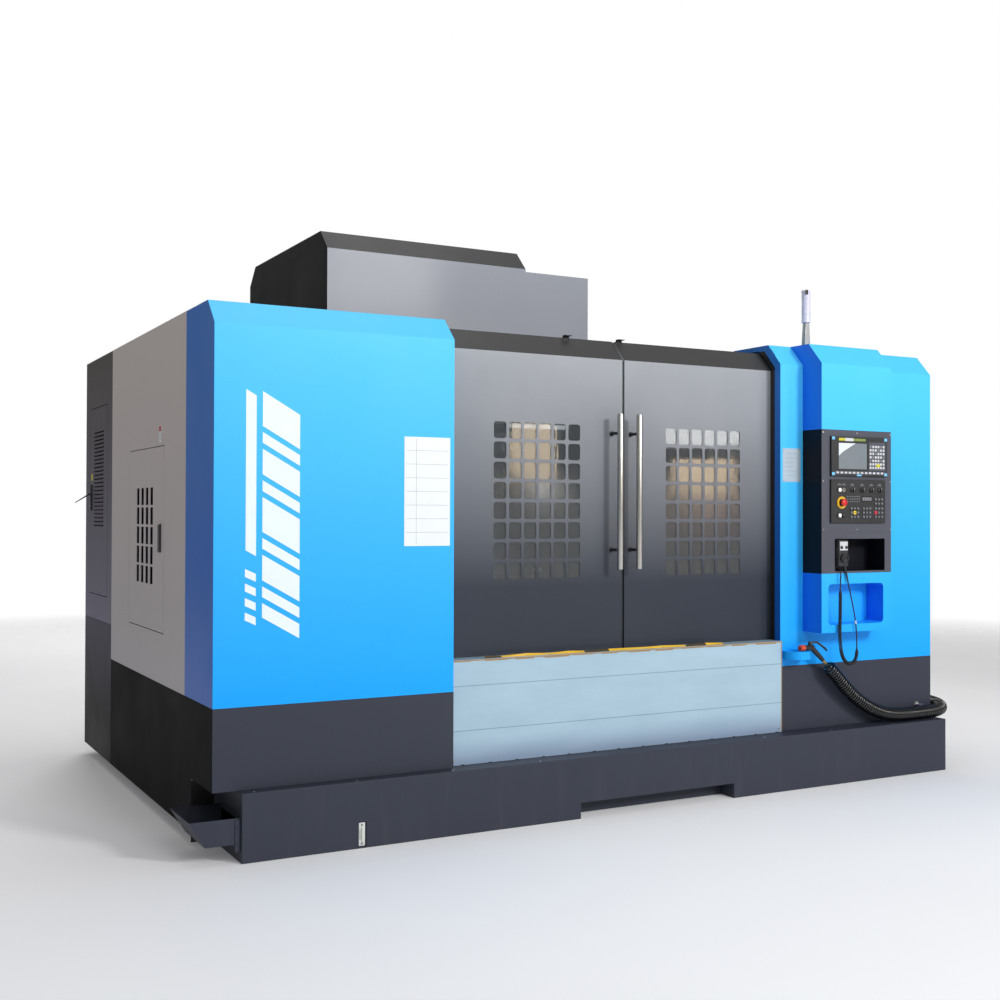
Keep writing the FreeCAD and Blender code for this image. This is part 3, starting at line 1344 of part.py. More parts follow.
def build():
    os.makedirs("parts", exist_ok=True)
    save("machine_bed", machine_bed())
    save("machine_column", column())
    save("levelling_pads", *levelling_pads())
    save("coolant_tank", coolant_tank())
    save("tank_filler_chute", tank_filler_chute())
    save("left_front_cover", left_front_cover())
    save("right_front_cover", right_front_cover())
    save("side_panels", left_panel(), right_panel(), back_panel())
    save("skirt_panels",
         skirt(0, 0, left_cover_width, 0, side_panel_back, side_notch_depth),
         skirt(machine_width, right_cover_left, machine_width, right_face, enclosure_back,
               tank_back + 10))
    save("front_apron", front_apron())
    save("electrical_cabinet", cabinet())
    save("top_covers", roof(), tall_housing(), low_housing())
    save("door_track", *door_tracks())
    save("splash_guards", *splash_guards())
    save("control_housing", *control_housing())
    save("control_fascia", control_fascia())
    save("screen_unit", screen_unit())
    save("operator_panel", operator_panel())
    save("cover_screws",
         *[screw(x, box_face, z) for x, z in fascia_screws()],
         *[screw(x, apron_face, z) for x, z in apron_screws()])
    save("gun_holder", gun_holder())
    save("spray_gun", *spray_gun())
    save("gun_trigger", gun_trigger())
    save("gun_hose_coil", cord("gun_hose_coil", hose_points, hose_radius))
    save("pendant_body", pendant_body())
    save("pendant_wheel", pendant_wheel())
    save("axis_knob", pendant_knob(-1))
    save("step_knob", pendant_knob(1))
    save("pendant_cord_tail", cord("pendant_cord_tail", tail_points, pendant_cord_radius))
    save("pendant_cord_coil", cord("pendant_cord_coil", coil_points, pendant_coil_radius))
    save("pendant_cord_lead", cord("pendant_cord_lead", lead_points, pendant_cord_radius))
    save("tower_lamp", *tower_lamp())
    save("left_door", door_panel(left_door_left, left_door_right, window_left_start))
    save("left_door_glass", door_glass(window_left_start))
    save("left_door_handle", door_handle(left_handle_x))
    save("right_door", door_panel(right_door_left, right_door_right, window_right_start))
    save("right_door_glass", door_glass(window_right_start))
    save("right_door_handle", door_handle(right_handle_x))
    save("side_door", *side_door())
    save("cabinet_door", *cabinet_door())
    save("cabinet_lever", cabinet_lever())
    save("saddle", saddle())
    save("table", table())
    save("spindle_head", spindle_head())
    save("spindle", spindle())
    cross_z = saddle_top + cross_screw_rise
    save("x_feed_screw", feed_screw(vec(centre_x - saddle_half_length, spindle_y, cross_z),
                                    vec(centre_x + saddle_half_length, spindle_y, cross_z)))
    screw_z = (bed_top + way_top) / 2
    save("y_feed_screw", feed_screw(vec(centre_x, bed_nose_front, screw_z),
                                    vec(centre_x, seat_front, screw_z)))
    screw_y = column_front - upright_screw_stand
    save("z_feed_screw", feed_screw(vec(centre_x, screw_y, upright_way_bottom + 10),
                                    vec(centre_x, screw_y, column_top)))
    save("feed_motors", *feed_motors())
    save("magazine_frame", magazine_frame())
    save("tool_disc", tool_disc())
    save("arm_shaft", arm_shaft())
    save("change_arm", change_arm())
    save("emergency_stop", emergency_stop())
    for number, x in enumerate(selector_places, 1):
        save(f"selector_{number}", selector(x))
    for name, place in zip(("lamp_button", "start_button", "hold_button"), button_places):
        save(name, push_button(place))


build()
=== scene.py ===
import json
import math

import bmesh
import bpy
from mathutils import Matrix, Vector

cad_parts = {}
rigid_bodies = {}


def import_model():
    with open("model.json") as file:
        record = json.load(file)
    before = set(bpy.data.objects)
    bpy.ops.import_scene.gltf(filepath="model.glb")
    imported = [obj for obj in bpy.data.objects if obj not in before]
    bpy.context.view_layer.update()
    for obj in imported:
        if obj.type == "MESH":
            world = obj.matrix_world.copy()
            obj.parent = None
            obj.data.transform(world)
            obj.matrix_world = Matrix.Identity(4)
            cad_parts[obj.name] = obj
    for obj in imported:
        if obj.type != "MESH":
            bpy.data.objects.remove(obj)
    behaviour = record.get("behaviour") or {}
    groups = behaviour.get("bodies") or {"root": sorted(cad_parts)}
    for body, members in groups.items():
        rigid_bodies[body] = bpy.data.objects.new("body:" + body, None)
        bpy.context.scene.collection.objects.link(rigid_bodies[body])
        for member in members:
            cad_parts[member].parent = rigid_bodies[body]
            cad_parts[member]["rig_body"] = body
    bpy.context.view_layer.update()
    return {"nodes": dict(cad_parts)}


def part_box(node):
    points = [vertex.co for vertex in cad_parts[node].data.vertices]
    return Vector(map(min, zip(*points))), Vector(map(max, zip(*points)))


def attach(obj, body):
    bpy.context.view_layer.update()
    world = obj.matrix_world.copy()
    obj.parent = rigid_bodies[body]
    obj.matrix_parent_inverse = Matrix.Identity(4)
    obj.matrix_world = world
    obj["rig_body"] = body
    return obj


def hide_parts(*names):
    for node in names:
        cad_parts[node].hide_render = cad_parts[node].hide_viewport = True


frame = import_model()
nodes = frame["nodes"]
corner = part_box("left_front_cover")[0]  # lower front corner of the left cover
print("frame loaded:", len(nodes), "nodes")


def spot(x, y, z):  # millimetres from the left cover's corner, z from the floor
    return Vector((corner.x + x / 1000, corner.y + y / 1000, z / 1000))


def span(node):  # a node's box in the same millimetres
    low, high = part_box(node)
    return ([(low.x - corner.x) * 1000, (low.y - corner.y) * 1000, low.z * 1000],
            [(high.x - corner.x) * 1000, (high.y - corner.y) * 1000, high.z * 1000])


# camera and light first, then the cords, as both depend on the room round the machine

camera = {"place": (-3.5723, -6.5819, 1.4816), "tilt": 90.6, "roll": -0.17, "turn": -28.62, "lens": 45.2}


def makeCamera():
    data = bpy.data.cameras.new("Camera")
    data.lens = camera["lens"]
    data.sensor_width = 36
    data.clip_end = 200
    eye = bpy.data.objects.new("Camera", data)
    eye.location = camera["place"]
    eye.rotation_euler = [math.radians(camera[k]) for k in ("tilt", "roll", "turn")]
    bpy.context.scene.collection.objects.link(eye)
    bpy.context.scene.camera = eye


lamps = {  # place, width and height, power, aim, colour
    "KeyLight": ((3.6, -10.5, 5.2), (1.8, 1.8), 610, (0.2, -1.2, 1.9), (1, 1, 1)),
    "FrontLight": ((-1.5, -10.5, 6.5), (5.0, 5.0), 300, (-0.2, -1.2, 2.1), (1, 1, 1)),
    "BackLight": ((1.0, 9.5, 6.0), (5.0, 5.0), 420, (0, 0, 1.5), (1, 1, 1)),
    "TopLight": ((0.0, 0.5, 9.5), (6.0, 6.0), 170, (0, 0, 0), (1, 1, 1)),
    "InnerLight": ((0.05, -0.35, 2.28), (0.8, 0.8), 20, (0.05, -0.5, 1.0), (1, 1, 1)),
    "PaleCard": ((7.3, -9.6, 2.72), (1.5, 0.62), 30, (0.6, -1.2, 1.7), (1, 1, 1)),  # seen in the door glass
    "WarmCardRight": ((7.1, -9.6, 1.95), (0.85, 0.55), 13, (0.6, -1.2, 1.5), (1.0, 0.76, 0.5)),
    "RoseCardRight": ((7.15, -9.6, 1.42), (0.55, 0.3), 2.5, (0.6, -1.2, 1.4), (1.0, 0.6, 0.6)),
    "WarmCardLeft": ((4.4, -9.6, 2.25), (0.6, 0.75), 11, (-0.4, -1.2, 1.7), (1.0, 0.8, 0.55)),
    "PaleCardLeft": ((4.62, -9.6, 1.72), (0.3, 0.34), 2.2, (-0.4, -1.2, 1.6), (1, 1, 1)),
}


studio = {"light": 0.28, "backdrop": 1.0}  # strength of the white all round, as a light and as seen


def makeLights():
    for name, (place, (wide, tall), power, aim, colour) in lamps.items():
        data = bpy.data.lights.new(name, "AREA")
        data.shape = "RECTANGLE"
        data.size, data.size_y = wide, tall
        data.energy, data.color = power, colour
        lamp = bpy.data.objects.new(name, data)
        lamp.location = place
        lamp.rotation_euler = (Vector(aim) - Vector(place)).to_track_quat("-Z", "Y").to_euler()
        bpy.context.scene.collection.objects.link(lamp)
    world = bpy.data.worlds.new("Studio")
    world.use_nodes = True
    tree = world.node_tree
    sky = tree.nodes["Background"]
    sky.inputs["Color"].default_value = (1.0, 1.0, 1.0, 1)
    seen = tree.nodes.new("ShaderNodeLightPath")  # the backdrop stays white while its light is soft
    level = tree.nodes.new("ShaderNodeMapRange")
    level.inputs["To Min"].default_value, level.inputs["To Max"].default_value = studio["light"], studio["backdrop"]
    tree.links.new(seen.outputs["Is Camera Ray"], level.inputs["Value"])
    tree.links.new(level.outputs[0], sky.inputs["Strength"])
    bpy.context.scene.world = world
    bpy.context.scene.view_settings.view_transform = "Standard"


makeCamera()
makeLights()
print("camera and lights made")


class Flow:  # a socket that takes part in sums
    def __init__(self, maker, socket):
        self.maker, self.socket = maker, socket

    def sum(self, kind, first, second):
        return self.maker.node("Math", {"operation": kind}, {0: first, 1: second})

    def __add__(self, other):
        return self.sum("ADD", self, other)

    def __radd__(self, other):
        return self.sum("ADD", other, self)

    def __sub__(self, other):
        return self.sum("SUBTRACT", self, other)

    def __rsub__(self, other):
        return self.sum("SUBTRACT", other, self)

    def __mul__(self, other):
        return self.sum("MULTIPLY", self, other)

    def __rmul__(self, other):
        return self.sum("MULTIPLY", other, self)

    def __pow__(self, other):
        return self.sum("POWER", self, other)


class Finish:  # one material and the nodes behind its shader
    def __init__(self, name, **fixed):
        self.material = bpy.data.materials.new(name)
        self.material.use_nodes = True
        self.tree = self.material.node_tree
        self.shader = self.tree.nodes["Principled BSDF"]
        for socket, value in fixed.items():
            self.shader.inputs[socket.replace("_", " ")].default_value = value
        self.place = self.node("TexCoord", out="Object")

    def node(self, kind, settings=None, inputs=None, out=0):
        made = self.tree.nodes.new("ShaderNode" + kind)
        for key, value in (settings or {}).items():
            setattr(made, key, value)
        for key, value in (inputs or {}).items():
            self.feed(made.inputs[key], value)
        return Flow(self, made.outputs[out])

    def feed(self, socket, value):
        if isinstance(value, Flow):
            self.tree.links.new(value.socket, socket)
        elif isinstance(value, (tuple, list)) and socket.type == "RGBA":
            socket.default_value = tint(value)
        else:
            socket.default_value = value

    def stretched(self, stretch):
        return self.node("Mapping", None, {"Vector": self.place, "Scale": stretch})

    def noise(self, scale, detail=2.0, rough=0.5, stretch=None):
        where = self.stretched(stretch) if stretch else self.place
        return self.node("TexNoise", None, {"Vector": where, "Scale": scale, "Detail": detail,
                                            "Roughness": rough})

    def band(self, value, low, high, to0=0.0, to1=1.0):
        return self.node("MapRange", {"clamp": True}, {"Value": value, "From Min": low, "From Max": high,
                                                       "To Min": to0, "To Max": to1})

    def blend(self, factor, first, second):
        return self.node("Mix", {"data_type": "RGBA"}, {0: factor, 6: first, 7: second}, out=2)

    def axis(self, index):
        return self.node("SeparateXYZ", None, {0: self.place}, out=index)

    def bump(self, height, depth, under=None):
        inputs = {"Height": height, "Distance": depth, "Strength": 1.0}
        if under:
            inputs["Normal"] = under
        return self.node("Bump", None, inputs)

    def show(self, **sockets):
        for socket, value in sockets.items():
            self.feed(self.shader.inputs[socket.replace("_", " ")], value)
        return self.material


def tint(colour):  # screen values 0..255 to the colours that a shader takes
    if len(colour) == 4:
        return colour
    return (*[((c / 255 + 0.055) / 1.055) ** 2.4 if c > 10 else c / 255 / 12.92 for c in colour], 1)


def darker(colour, by):
    return [c * by for c in colour]


def paler(colour, by, more=0):
    return [min(255, c * by + more) for c in colour]


middle = (0.3, 0.7)  # where most of a noise's values lie


def sprayPaint(name, colour, upper=None, low=0.6, high=2.4, rough=0.32, grain=0.00004, grainScale=420,
               peel=0.00012, coat=0.25, dust=0.05, specular=0.5):
    f = Finish(name, Coat_Roughness=0.12, Specular_IOR_Level=specular)
    z = f.axis(2)
    cloud = f.noise(1.7, 4, 0.6)
    speck = f.noise(grainScale, 2, 0.7)
    streak = f.noise(2.2, 3, 0.6, (6, 6, 0.8))
    # painted light and shade: the colour runs from colour at low to upper at high, for how the lamps and their
    # reflections fall down each panel
    shade = f.blend(f.band(z, low, high), colour, upper or colour)
    shade = f.blend(f.band(cloud, *middle, 0.0, 0.10), shade, paler(colour, 1.18, 6))
    shade = f.blend(f.band(speck, 0.42, 0.75, 0.0, 0.12), shade, darker(colour, 0.72))
    grime = f.band(streak, 0.55, 0.85) * f.band(z, 0.5, 0.0) * dust * 2
    shade = f.blend(grime, shade, (120, 116, 108))
    flow = f.noise(34, 2, 0.5)
    normal = f.bump(speck, grain, under=f.bump(flow, peel))
    return f.show(Base_Color=shade, Roughness=f.band(cloud, 0.3, 0.75, rough - 0.05, rough + 0.09) + grime * 0.4,
                  Coat_Weight=f.band(flow, 0.2, 0.8, coat * 0.8, coat * 1.15), Normal=normal)


def brushedMetal(name, colour, along=(1, 60, 60), rough=0.3, depth=0.00003, fine=90, streaks=0.16):
    f = Finish(name, Metallic=1.0)
    lines = f.noise(fine, 3, 0.7, along)
    cloud = f.noise(3, 3, 0.55)
    shade = f.blend(f.band(lines, *middle, 0.0, streaks), colour, darker(colour, 0.62))
    shade = f.blend(f.band(cloud, 0.35, 0.7, 0.0, 0.18), shade, paler(colour, 1.12))
    return f.show(Base_Color=shade, Roughness=f.band(lines, 0.25, 0.75, rough - 0.06, rough + 0.1),
                  Normal=f.bump(lines, depth))


def filmedSteel(name, colour=(158, 186, 202), edge=(104, 110, 156), seams=(0.667, 0.457)):
    f = Finish(name, Metallic=0.15, Coat_Roughness=0.12, Specular_IOR_Level=0.4)
    z = f.axis(2)
    grain = f.noise(70, 2, 0.6, (0.8, 1, 40))
    ripple = f.noise(5.5, 4, 0.62, (0.5, 1, 1.6))
    bubble = f.node("TexVoronoi", {"feature": "F1"}, {"Vector": f.stretched((1, 0.01, 1)), "Scale": 26.0})
    blister = f.band(bubble, 0.02, 0.10, 1.0, 0.0)
    shade = f.blend(f.band(ripple, *middle), colour, paler(colour, 1, 9))
    shade = f.blend(f.band(z, 0.42, 0.32, 0.0, 0.45), shade, edge)
    shade = f.blend(f.band(grain, 0.35, 0.75, 0, 0.16), shade, (120, 145, 165))
    for height in seams:
        gap = f.node("Math", {"operation": "ABSOLUTE"}, {0: z - height})
        shade = f.blend(f.band(gap, 0.0012, 0.0028, 0.55, 0.0), shade, (86, 104, 120))
    normal = f.bump(grain, 0.00002, under=f.bump(ripple, 0.0009, under=f.bump(blister, 0.0002)))
    return f.show(Base_Color=shade, Roughness=f.band(ripple, *middle, 0.34, 0.46),
                  Coat_Weight=f.band(ripple, 0.3, 0.8, 0.15, 0.35), Normal=normal)


def mouldedPlastic(name, colour, rough=0.42, grain=0.00003, grainScale=900, coat=0.0, speckle=0.10):
    f = Finish(name, Coat_Weight=coat, Coat_Roughness=0.1)
    fine = f.noise(grainScale, 2, 0.6)
    cloud = f.noise(14, 3, 0.6)
    shade = f.blend(f.band(cloud, *middle, 0, 0.14), colour, paler(colour, 1.2, 5))
    shade = f.blend(f.band(fine, 0.5, 0.8, 0, speckle), shade, darker(colour, 0.7))
    return f.show(Base_Color=shade, Roughness=f.band(cloud, *middle, rough - 0.05, rough + 0.07),
                  Normal=f.bump(fine, grain))


def castIron(name, colour=(142, 146, 150), ground=(172, 174, 176)):
    f = Finish(name, Metallic=0.15)
    skin = f.noise(120, 4, 0.65)
    cloud = f.noise(2.5, 4, 0.6)
    shade = f.blend(f.band(cloud, *middle, 0, 0.4), colour, ground)
    shade = f.blend(f.band(skin, 0.5, 0.8, 0, 0.3), shade, darker(colour, 0.7))
    return f.show(Base_Color=shade, Roughness=f.band(cloud, *middle, 0.4, 0.6), Normal=f.bump(skin, 0.0004))


def safetyGlass(name, colour=(150, 156, 160)):
    f = Finish(name, Transmission_Weight=0.88, IOR=1.5, Specular_IOR_Level=0.5)
    smear = f.noise(6, 4, 0.6, (1, 1, 0.4))
    haze = f.band(f.axis(2), 1.75, 1.2) * 0.22  # coolant mist dried on the lower panes
    shade = f.blend(f.band(smear, 0.35, 0.7, 0, 0.35), colour, (120, 122, 124))
    return f.show(Base_Color=shade, Roughness=f.band(smear, 0.35, 0.75, 0.015, 0.07) + haze,
                  Normal=f.bump(smear, 0.0004))


def litPlastic(name, colour, glow=0.5, rough=0.3):
    f = Finish(name, Emission_Strength=glow)
    cloud = f.noise(30, 2)
    shade = f.blend(f.band(cloud, *middle, 0, 0.2), colour, darker(colour, 0.86))
    return f.show(Base_Color=shade, Emission_Color=shade, Roughness=f.band(cloud, *middle, rough, rough + 0.1))


def poolOfFloor(name, fadeFrom, fadeTo):  # pale ground that thins out to nothing away from the machine
    f = Finish(name, Roughness=0.75, Specular_IOR_Level=0.2, Emission_Strength=0.1,
               Emission_Color=tint((250, 250, 252)))
    x, y = f.axis(0), f.axis(1)
    away = (x * x + y * y) ** 0.5
    return f.show(Base_Color=f.blend(f.noise(0.6, 3), (240, 240, 241), (232, 232, 234)),
                  Alpha=f.band(away, fadeFrom, fadeTo, 1.0, 0.0))


# upper, low and high are painted light and shade: each paint lighter or darker towards the top as the lamps and
# reflections fall
paints = {
    # CoverBlue: painted reflection, the front paler towards the top
    "CoverBlue": dict(colour=(2, 158, 250), upper=(84, 200, 254), low=0.6, high=2.35, rough=0.4, coat=0.04,
                      specular=0.2),
    # CoverBlueSide: painted shade, a darker copy of CoverBlue for faces turned to the left
    "CoverBlueSide": dict(colour=(12, 92, 190), upper=(46, 118, 204), rough=0.4, coat=0.04, specular=0.2),
    # CasingBlueSide: painted shade, a darker copy of the casing blue for its left faces
    "CasingBlueSide": dict(colour=(10, 100, 226), upper=(16, 112, 236), rough=0.36),
    "SkirtDark": dict(colour=(50, 54, 66), rough=0.5, grain=0.00012, coat=0.02, specular=0.25),
    # SkirtSideDark: painted shade, a near-black copy of the skirt paint for faces turned to the left
    "SkirtSideDark": dict(colour=(5, 5, 8), rough=0.6, grain=0.00012, coat=0.0, dust=0.0, specular=0.05),
    # PlinthGrey: the cabinet's dark foot paint, with painted shade making it darker still towards the floor
    "PlinthGrey": dict(colour=(8, 8, 11), upper=(88, 84, 102), low=0.3, high=0.95, rough=0.55, grain=0.0001,
                       coat=0.0, dust=0.0, specular=0.15),
    "PanelWarmGrey": dict(colour=(178, 174, 178), upper=(212, 202, 196), rough=0.48, grain=0.00008, coat=0.04,
                          specular=0.25),
    "CabinetGrey": dict(colour=(114, 110, 132), upper=(70, 64, 56), rough=0.5, grain=0.0001, coat=0.04,
                        specular=0.25),
    "HousingGrey": dict(colour=(140, 143, 152), upper=(146, 150, 160), low=2.3, high=3.0, rough=0.46,
                        grain=0.0001, coat=0.06, specular=0.3),
    # HousingDark and SlopeGrey: painted shade, darker copies of the housing grey for its sides and sloped top
    "HousingDark": dict(colour=(14, 14, 18), rough=0.5, grain=0.0001, coat=0.04, specular=0.15),
    "SlopeGrey": dict(colour=(62, 62, 62), rough=0.46, grain=0.0001, coat=0.06, specular=0.3),
    # DoorGrey: painted reflection and shade, the doors dark at the foot and pale at the top
    "DoorGrey": dict(colour=(40, 46, 58), upper=(158, 162, 168), low=1.12, high=2.34, rough=0.42, grain=0.0001,
                     coat=0.08, specular=0.3),
    # DoorSlope: painted shade, a darker copy of the door grey for the sloped faces
    "DoorSlope": dict(colour=(62, 62, 63), rough=0.45, grain=0.0001, coat=0.06, specular=0.3),
    "FasciaGrey": dict(colour=(76, 78, 88), rough=0.48, grain=0.00012, coat=0.04, specular=0.3),
    # FasciaDark: painted shade, a near-black copy of the fascia grey for its sides and recesses
    "FasciaDark": dict(colour=(12, 14, 24), rough=0.55, grain=0.0001, coat=0.02, specular=0.15),
    "RailBlack": dict(colour=(28, 28, 30), rough=0.45),
    "BracketSilver": dict(colour=(176, 172, 170)),
    "GaugePale": dict(colour=(206, 206, 204), rough=0.4),
}
plastics = {
    "CordRubber": dict(colour=(22, 22, 24), rough=0.5, grainScale=1500),
    "HosePlastic": dict(colour=(7, 7, 8), rough=0.2, grain=0.00001, coat=0.7),
    "StripeFoil": dict(colour=(226, 238, 246), rough=0.35, grain=0.00001, speckle=0.03),
    "PlatePale": dict(colour=(224, 230, 234), rough=0.4, grain=0.00001, speckle=0.02),
    "RuleGrey": dict(colour=(150, 158, 164), rough=0.5, grain=0.00001, speckle=0.02),
    "PlateSilver": dict(colour=(168, 184, 198), rough=0.4, speckle=0.03),
    "TagRed": dict(colour=(190, 40, 60), rough=0.5),
    "TagYellow": dict(colour=(196, 186, 70), rough=0.5),
    "FilmEdgeBrown": dict(colour=(150, 122, 84), rough=0.6),
    "TapeYellow": dict(colour=(222, 176, 40), rough=0.5),
    "TapeShadow": dict(colour=(70, 56, 28), rough=0.6),
    "SealRubber": dict(colour=(14, 14, 16), rough=0.6),
    "UnitBlack": dict(colour=(34, 35, 38), rough=0.4, grainScale=1400),
    "KeyWhite": dict(colour=(196, 198, 202), rough=0.4, grain=0.00001, speckle=0.02),
    "KeyGrey": dict(colour=(120, 124, 130), rough=0.4, grain=0.00001, speckle=0.02),
    "KeyDark": dict(colour=(62, 64, 68), rough=0.4, speckle=0.03),
    "BezelSteel": dict(colour=(70, 74, 84), rough=0.35),
    "StripYellow": dict(colour=(196, 188, 44), rough=0.5),
    "StripGreen": dict(colour=(120, 140, 60), rough=0.5),
    "FilmTab": dict(colour=(110, 190, 236), rough=0.3),
    "CounterDark": dict(colour=(40, 30, 30), rough=0.2),
    "RingYellow": dict(colour=(226, 176, 30), rough=0.35),
    "StopRed": dict(colour=(200, 26, 30), rough=0.25, coat=0.4),
    "NozzleOrange": dict(colour=(206, 74, 40), rough=0.3),
    "GaugeTube": dict(colour=(196, 206, 190), rough=0.1, coat=0.5),
    "RingViolet": dict(colour=(84, 70, 140), rough=0.4),
    "BlackPlastic": dict(colour=(26, 26, 28)),
    "NozzleBlue": dict(colour=(30, 90, 190), rough=0.35),
    "NozzleRed": dict(colour=(210, 90, 40), rough=0.35),
}
metals = {
    "GalvanisedSheet": dict(colour=(150, 153, 156), along=(1, 1, 1), rough=0.4, fine=14),
    "ScrewSteel": dict(colour=(178, 178, 176), along=(1, 1, 1), rough=0.25),
    "HandleSteel": dict(colour=(190, 188, 182), along=(30, 30, 1), rough=0.32, fine=60),
    "GunBrass": dict(colour=(190, 150, 84), along=(1, 1, 1), rough=0.26),
    "GroundSteel": dict(colour=(184, 184, 182), along=(1, 1, 20), rough=0.26),
}
glowing = {
    "ScreenPanel": dict(colour=(120, 128, 134), glow=0.04, rough=0.12),
    "ScreenGleam": dict(colour=(214, 222, 226), glow=0.05, rough=0.15),
    "KeyYellow": dict(colour=(236, 200, 40), glow=0.15),
    "KeyRed": dict(colour=(206, 40, 70), glow=0.15),
    "ButtonWhite": dict(colour=(232, 232, 226), glow=0.12),
    "LampPale": dict(colour=(214, 212, 234), glow=0.06, rough=0.22),
    "WorkLight": dict(colour=(236, 240, 244), glow=0.6),
}
looks = {"FilmedSteel": filmedSteel("FilmedSteel"), "MachineCasting": castIron("MachineCasting"),
         "DoorGlass": safetyGlass("DoorGlass"), "FloorPale": poolOfFloor("FloorPale", 5.0, 12.5)}
for maker, palette in ((sprayPaint, paints), (mouldedPlastic, plastics), (brushedMetal, metals),
                       (litPlastic, glowing)):
    for name, settings in palette.items():
        looks[name] = maker(name, **settings)
print("finishes made:", len(looks))


class Shape:  # a bmesh built in the machine's millimetres
    def __init__(self):
        self.mesh = bmesh.new()

    def settle(self, verts, soft, steps, shade, edges=None):
        if soft:
            chosen = edges or list({e for v in verts for e in v.link_edges})
            done = bmesh.ops.bevel(self.mesh, geom=chosen, offset=soft, offset_type="OFFSET", affect="EDGES",
                                   segments=steps, profile=0.5, material=-1, clamp_overlap=True)
            verts = list({v for v in verts if v.is_valid} | set(done["verts"]))
        for face in {f for v in verts for f in v.link_faces}:
            face.material_index = shade
        return verts

    def block(self, x0, x1, y0, y1, z0, z1, soft=0.0, steps=2, shade=0):
        size = Matrix.Diagonal((x1 - x0, y1 - y0, z1 - z0, 1))
        move = Matrix.Translation(((x0 + x1) / 2, (y0 + y1) / 2, (z0 + z1) / 2))
        made = bmesh.ops.create_cube(self.mesh, size=1, matrix=move @ size)
        return self.settle(made["verts"], soft, steps, shade)

    def tile(self, x0, x1, z0, z1, front, rise, sink=0.02, soft=0.0, shade=0):  # a thin block on a front face
        return self.block(x0, x1, front - rise, front - sink, z0, z1, soft, 1, shade)

    def post(self, start, end, radius, radiusEnd=None, soft=0.0, steps=2, sides=28, shade=0):
        start, end = Vector(start), Vector(end)
        turn = Vector((0, 0, 1)).rotation_difference(end - start).to_matrix().to_4x4()
        made = bmesh.ops.create_cone(self.mesh, cap_ends=True, segments=sides, radius1=radius,
                                     radius2=radius if radiusEnd is None else radiusEnd,
                                     depth=(end - start).length,
                                     matrix=Matrix.Translation((start + end) / 2) @ turn)
        verts = made["verts"]
        rims = [e for e in {e for v in verts for e in v.link_edges}
                if any(len(f.verts) > 4 for f in e.link_faces)]
        return self.settle(verts, soft, steps, shade, rims)

    def turned(self, profile, place, axis, steps=36, shade=0):  # profile: (radius, height) from pole to pole
        verts = [self.mesh.verts.new((r, 0, h)) for r, h in profile]
        edges = [self.mesh.edges.new(pair) for pair in zip(verts, verts[1:])]
        before = set(self.mesh.faces)
        bmesh.ops.spin(self.mesh, geom=verts + edges, cent=(0, 0, 0), axis=(0, 0, 1),
                       angle=2 * math.pi, steps=steps, use_merge=True)
        faces = [f for f in self.mesh.faces if f not in before]
        points = list({v for f in faces for v in f.verts})
        bmesh.ops.remove_doubles(self.mesh, verts=points, dist=0.0005)
        faces = [f for f in self.mesh.faces if f not in before]
        bmesh.ops.recalc_face_normals(self.mesh, faces=faces)
        points = list({v for f in faces for v in f.verts})
        turn = Vector((0, 0, 1)).rotation_difference(Vector(axis)).to_matrix()
        bmesh.ops.rotate(self.mesh, verts=points, cent=(0, 0, 0), matrix=turn)
        bmesh.ops.translate(self.mesh, verts=points, vec=place)
        for face in faces:
            face.material_index = shade
        return points

    def sheetOf(self, points, away, soft=0.0, steps=2, shade=0):  # a flat outline pushed out by a vector
        face = self.mesh.faces.new([self.mesh.verts.new(p) for p in points])
        out = bmesh.ops.extrude_face_region(self.mesh, geom=[face])
        moved = [g for g in out["geom"] if isinstance(g, bmesh.types.BMVert)]
        bmesh.ops.translate(self.mesh, verts=moved, vec=away)
        verts = list(face.verts) + moved if face.is_valid else moved
        faces = list({f for v in verts for f in v.link_faces})
        bmesh.ops.recalc_face_normals(self.mesh, faces=faces)
        return self.settle(verts, soft, steps, shade)

    def ticks(self, middle, reach, angles, front, near, far, wide, tall, shade=0):  # upright marks round a circle
        for angle in angles:
            x = middle[0] + reach * math.sin(math.radians(angle))
            z = middle[1] + reach * math.cos(math.radians(angle))
            self.block(x - wide, x + wide, front - near, front - far, z - tall, z + tall, shade=shade)

    def piece(self, name, body, *finishes, standsFor=None):
        bmesh.ops.transform(self.mesh, verts=self.mesh.verts, matrix=Matrix.Translation(spot(0, 0, 0))
                            @ Matrix.Scale(0.001, 4))
        made = settled(self.mesh, name, body, finishes, 32)
        if standsFor:
            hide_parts(standsFor)
        return made


slots = {  # which of the record's finishes each piece's first material belongs to
    "blue_paint": ("CoverBlue", "CoverBlueSide"), "dark_paint": ("SkirtDark", "FasciaGrey"),
    "warm_grey_paint": ("PanelWarmGrey",), "cabinet_paint": ("CabinetGrey",), "housing_paint": ("HousingGrey",),
    "film_steel": ("FilmedSteel",), "grey_paint": ("DoorGrey",), "brushed": ("HandleSteel", "ScrewSteel"),
    "white_plastic": ("StripeFoil", "PlatePale", "PlateSilver", "ButtonWhite", "KeyWhite"),
    "black_metal": ("RailBlack",), "black_plastic": ("SealRubber", "UnitBlack", "KeyDark", "BlackPlastic"),
    "screen_black": ("ScreenPanel",), "red_plastic": ("StopRed",), "lamp_plastic": ("LampPale",),
    "cast_iron": ("MachineCasting",), "cord_rubber": ("CordRubber",),
}


def settled(work, name, body, finishes, smooth):
    data = bpy.data.meshes.new(name)
    for edge in work.edges:
        edge.smooth = edge.is_manifold and edge.calc_face_angle(4) < math.radians(smooth)
    for face in work.faces:
        face.smooth = True
    work.to_mesh(data)
    work.free()
    for finish in finishes:
        data.materials.append(looks[finish])
    made = bpy.data.objects.new(name, data)
    bpy.context.scene.collection.objects.link(made)
    if body:
        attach(made, body)
    for slot, names in slots.items():
        finishes[0] in names
    return made


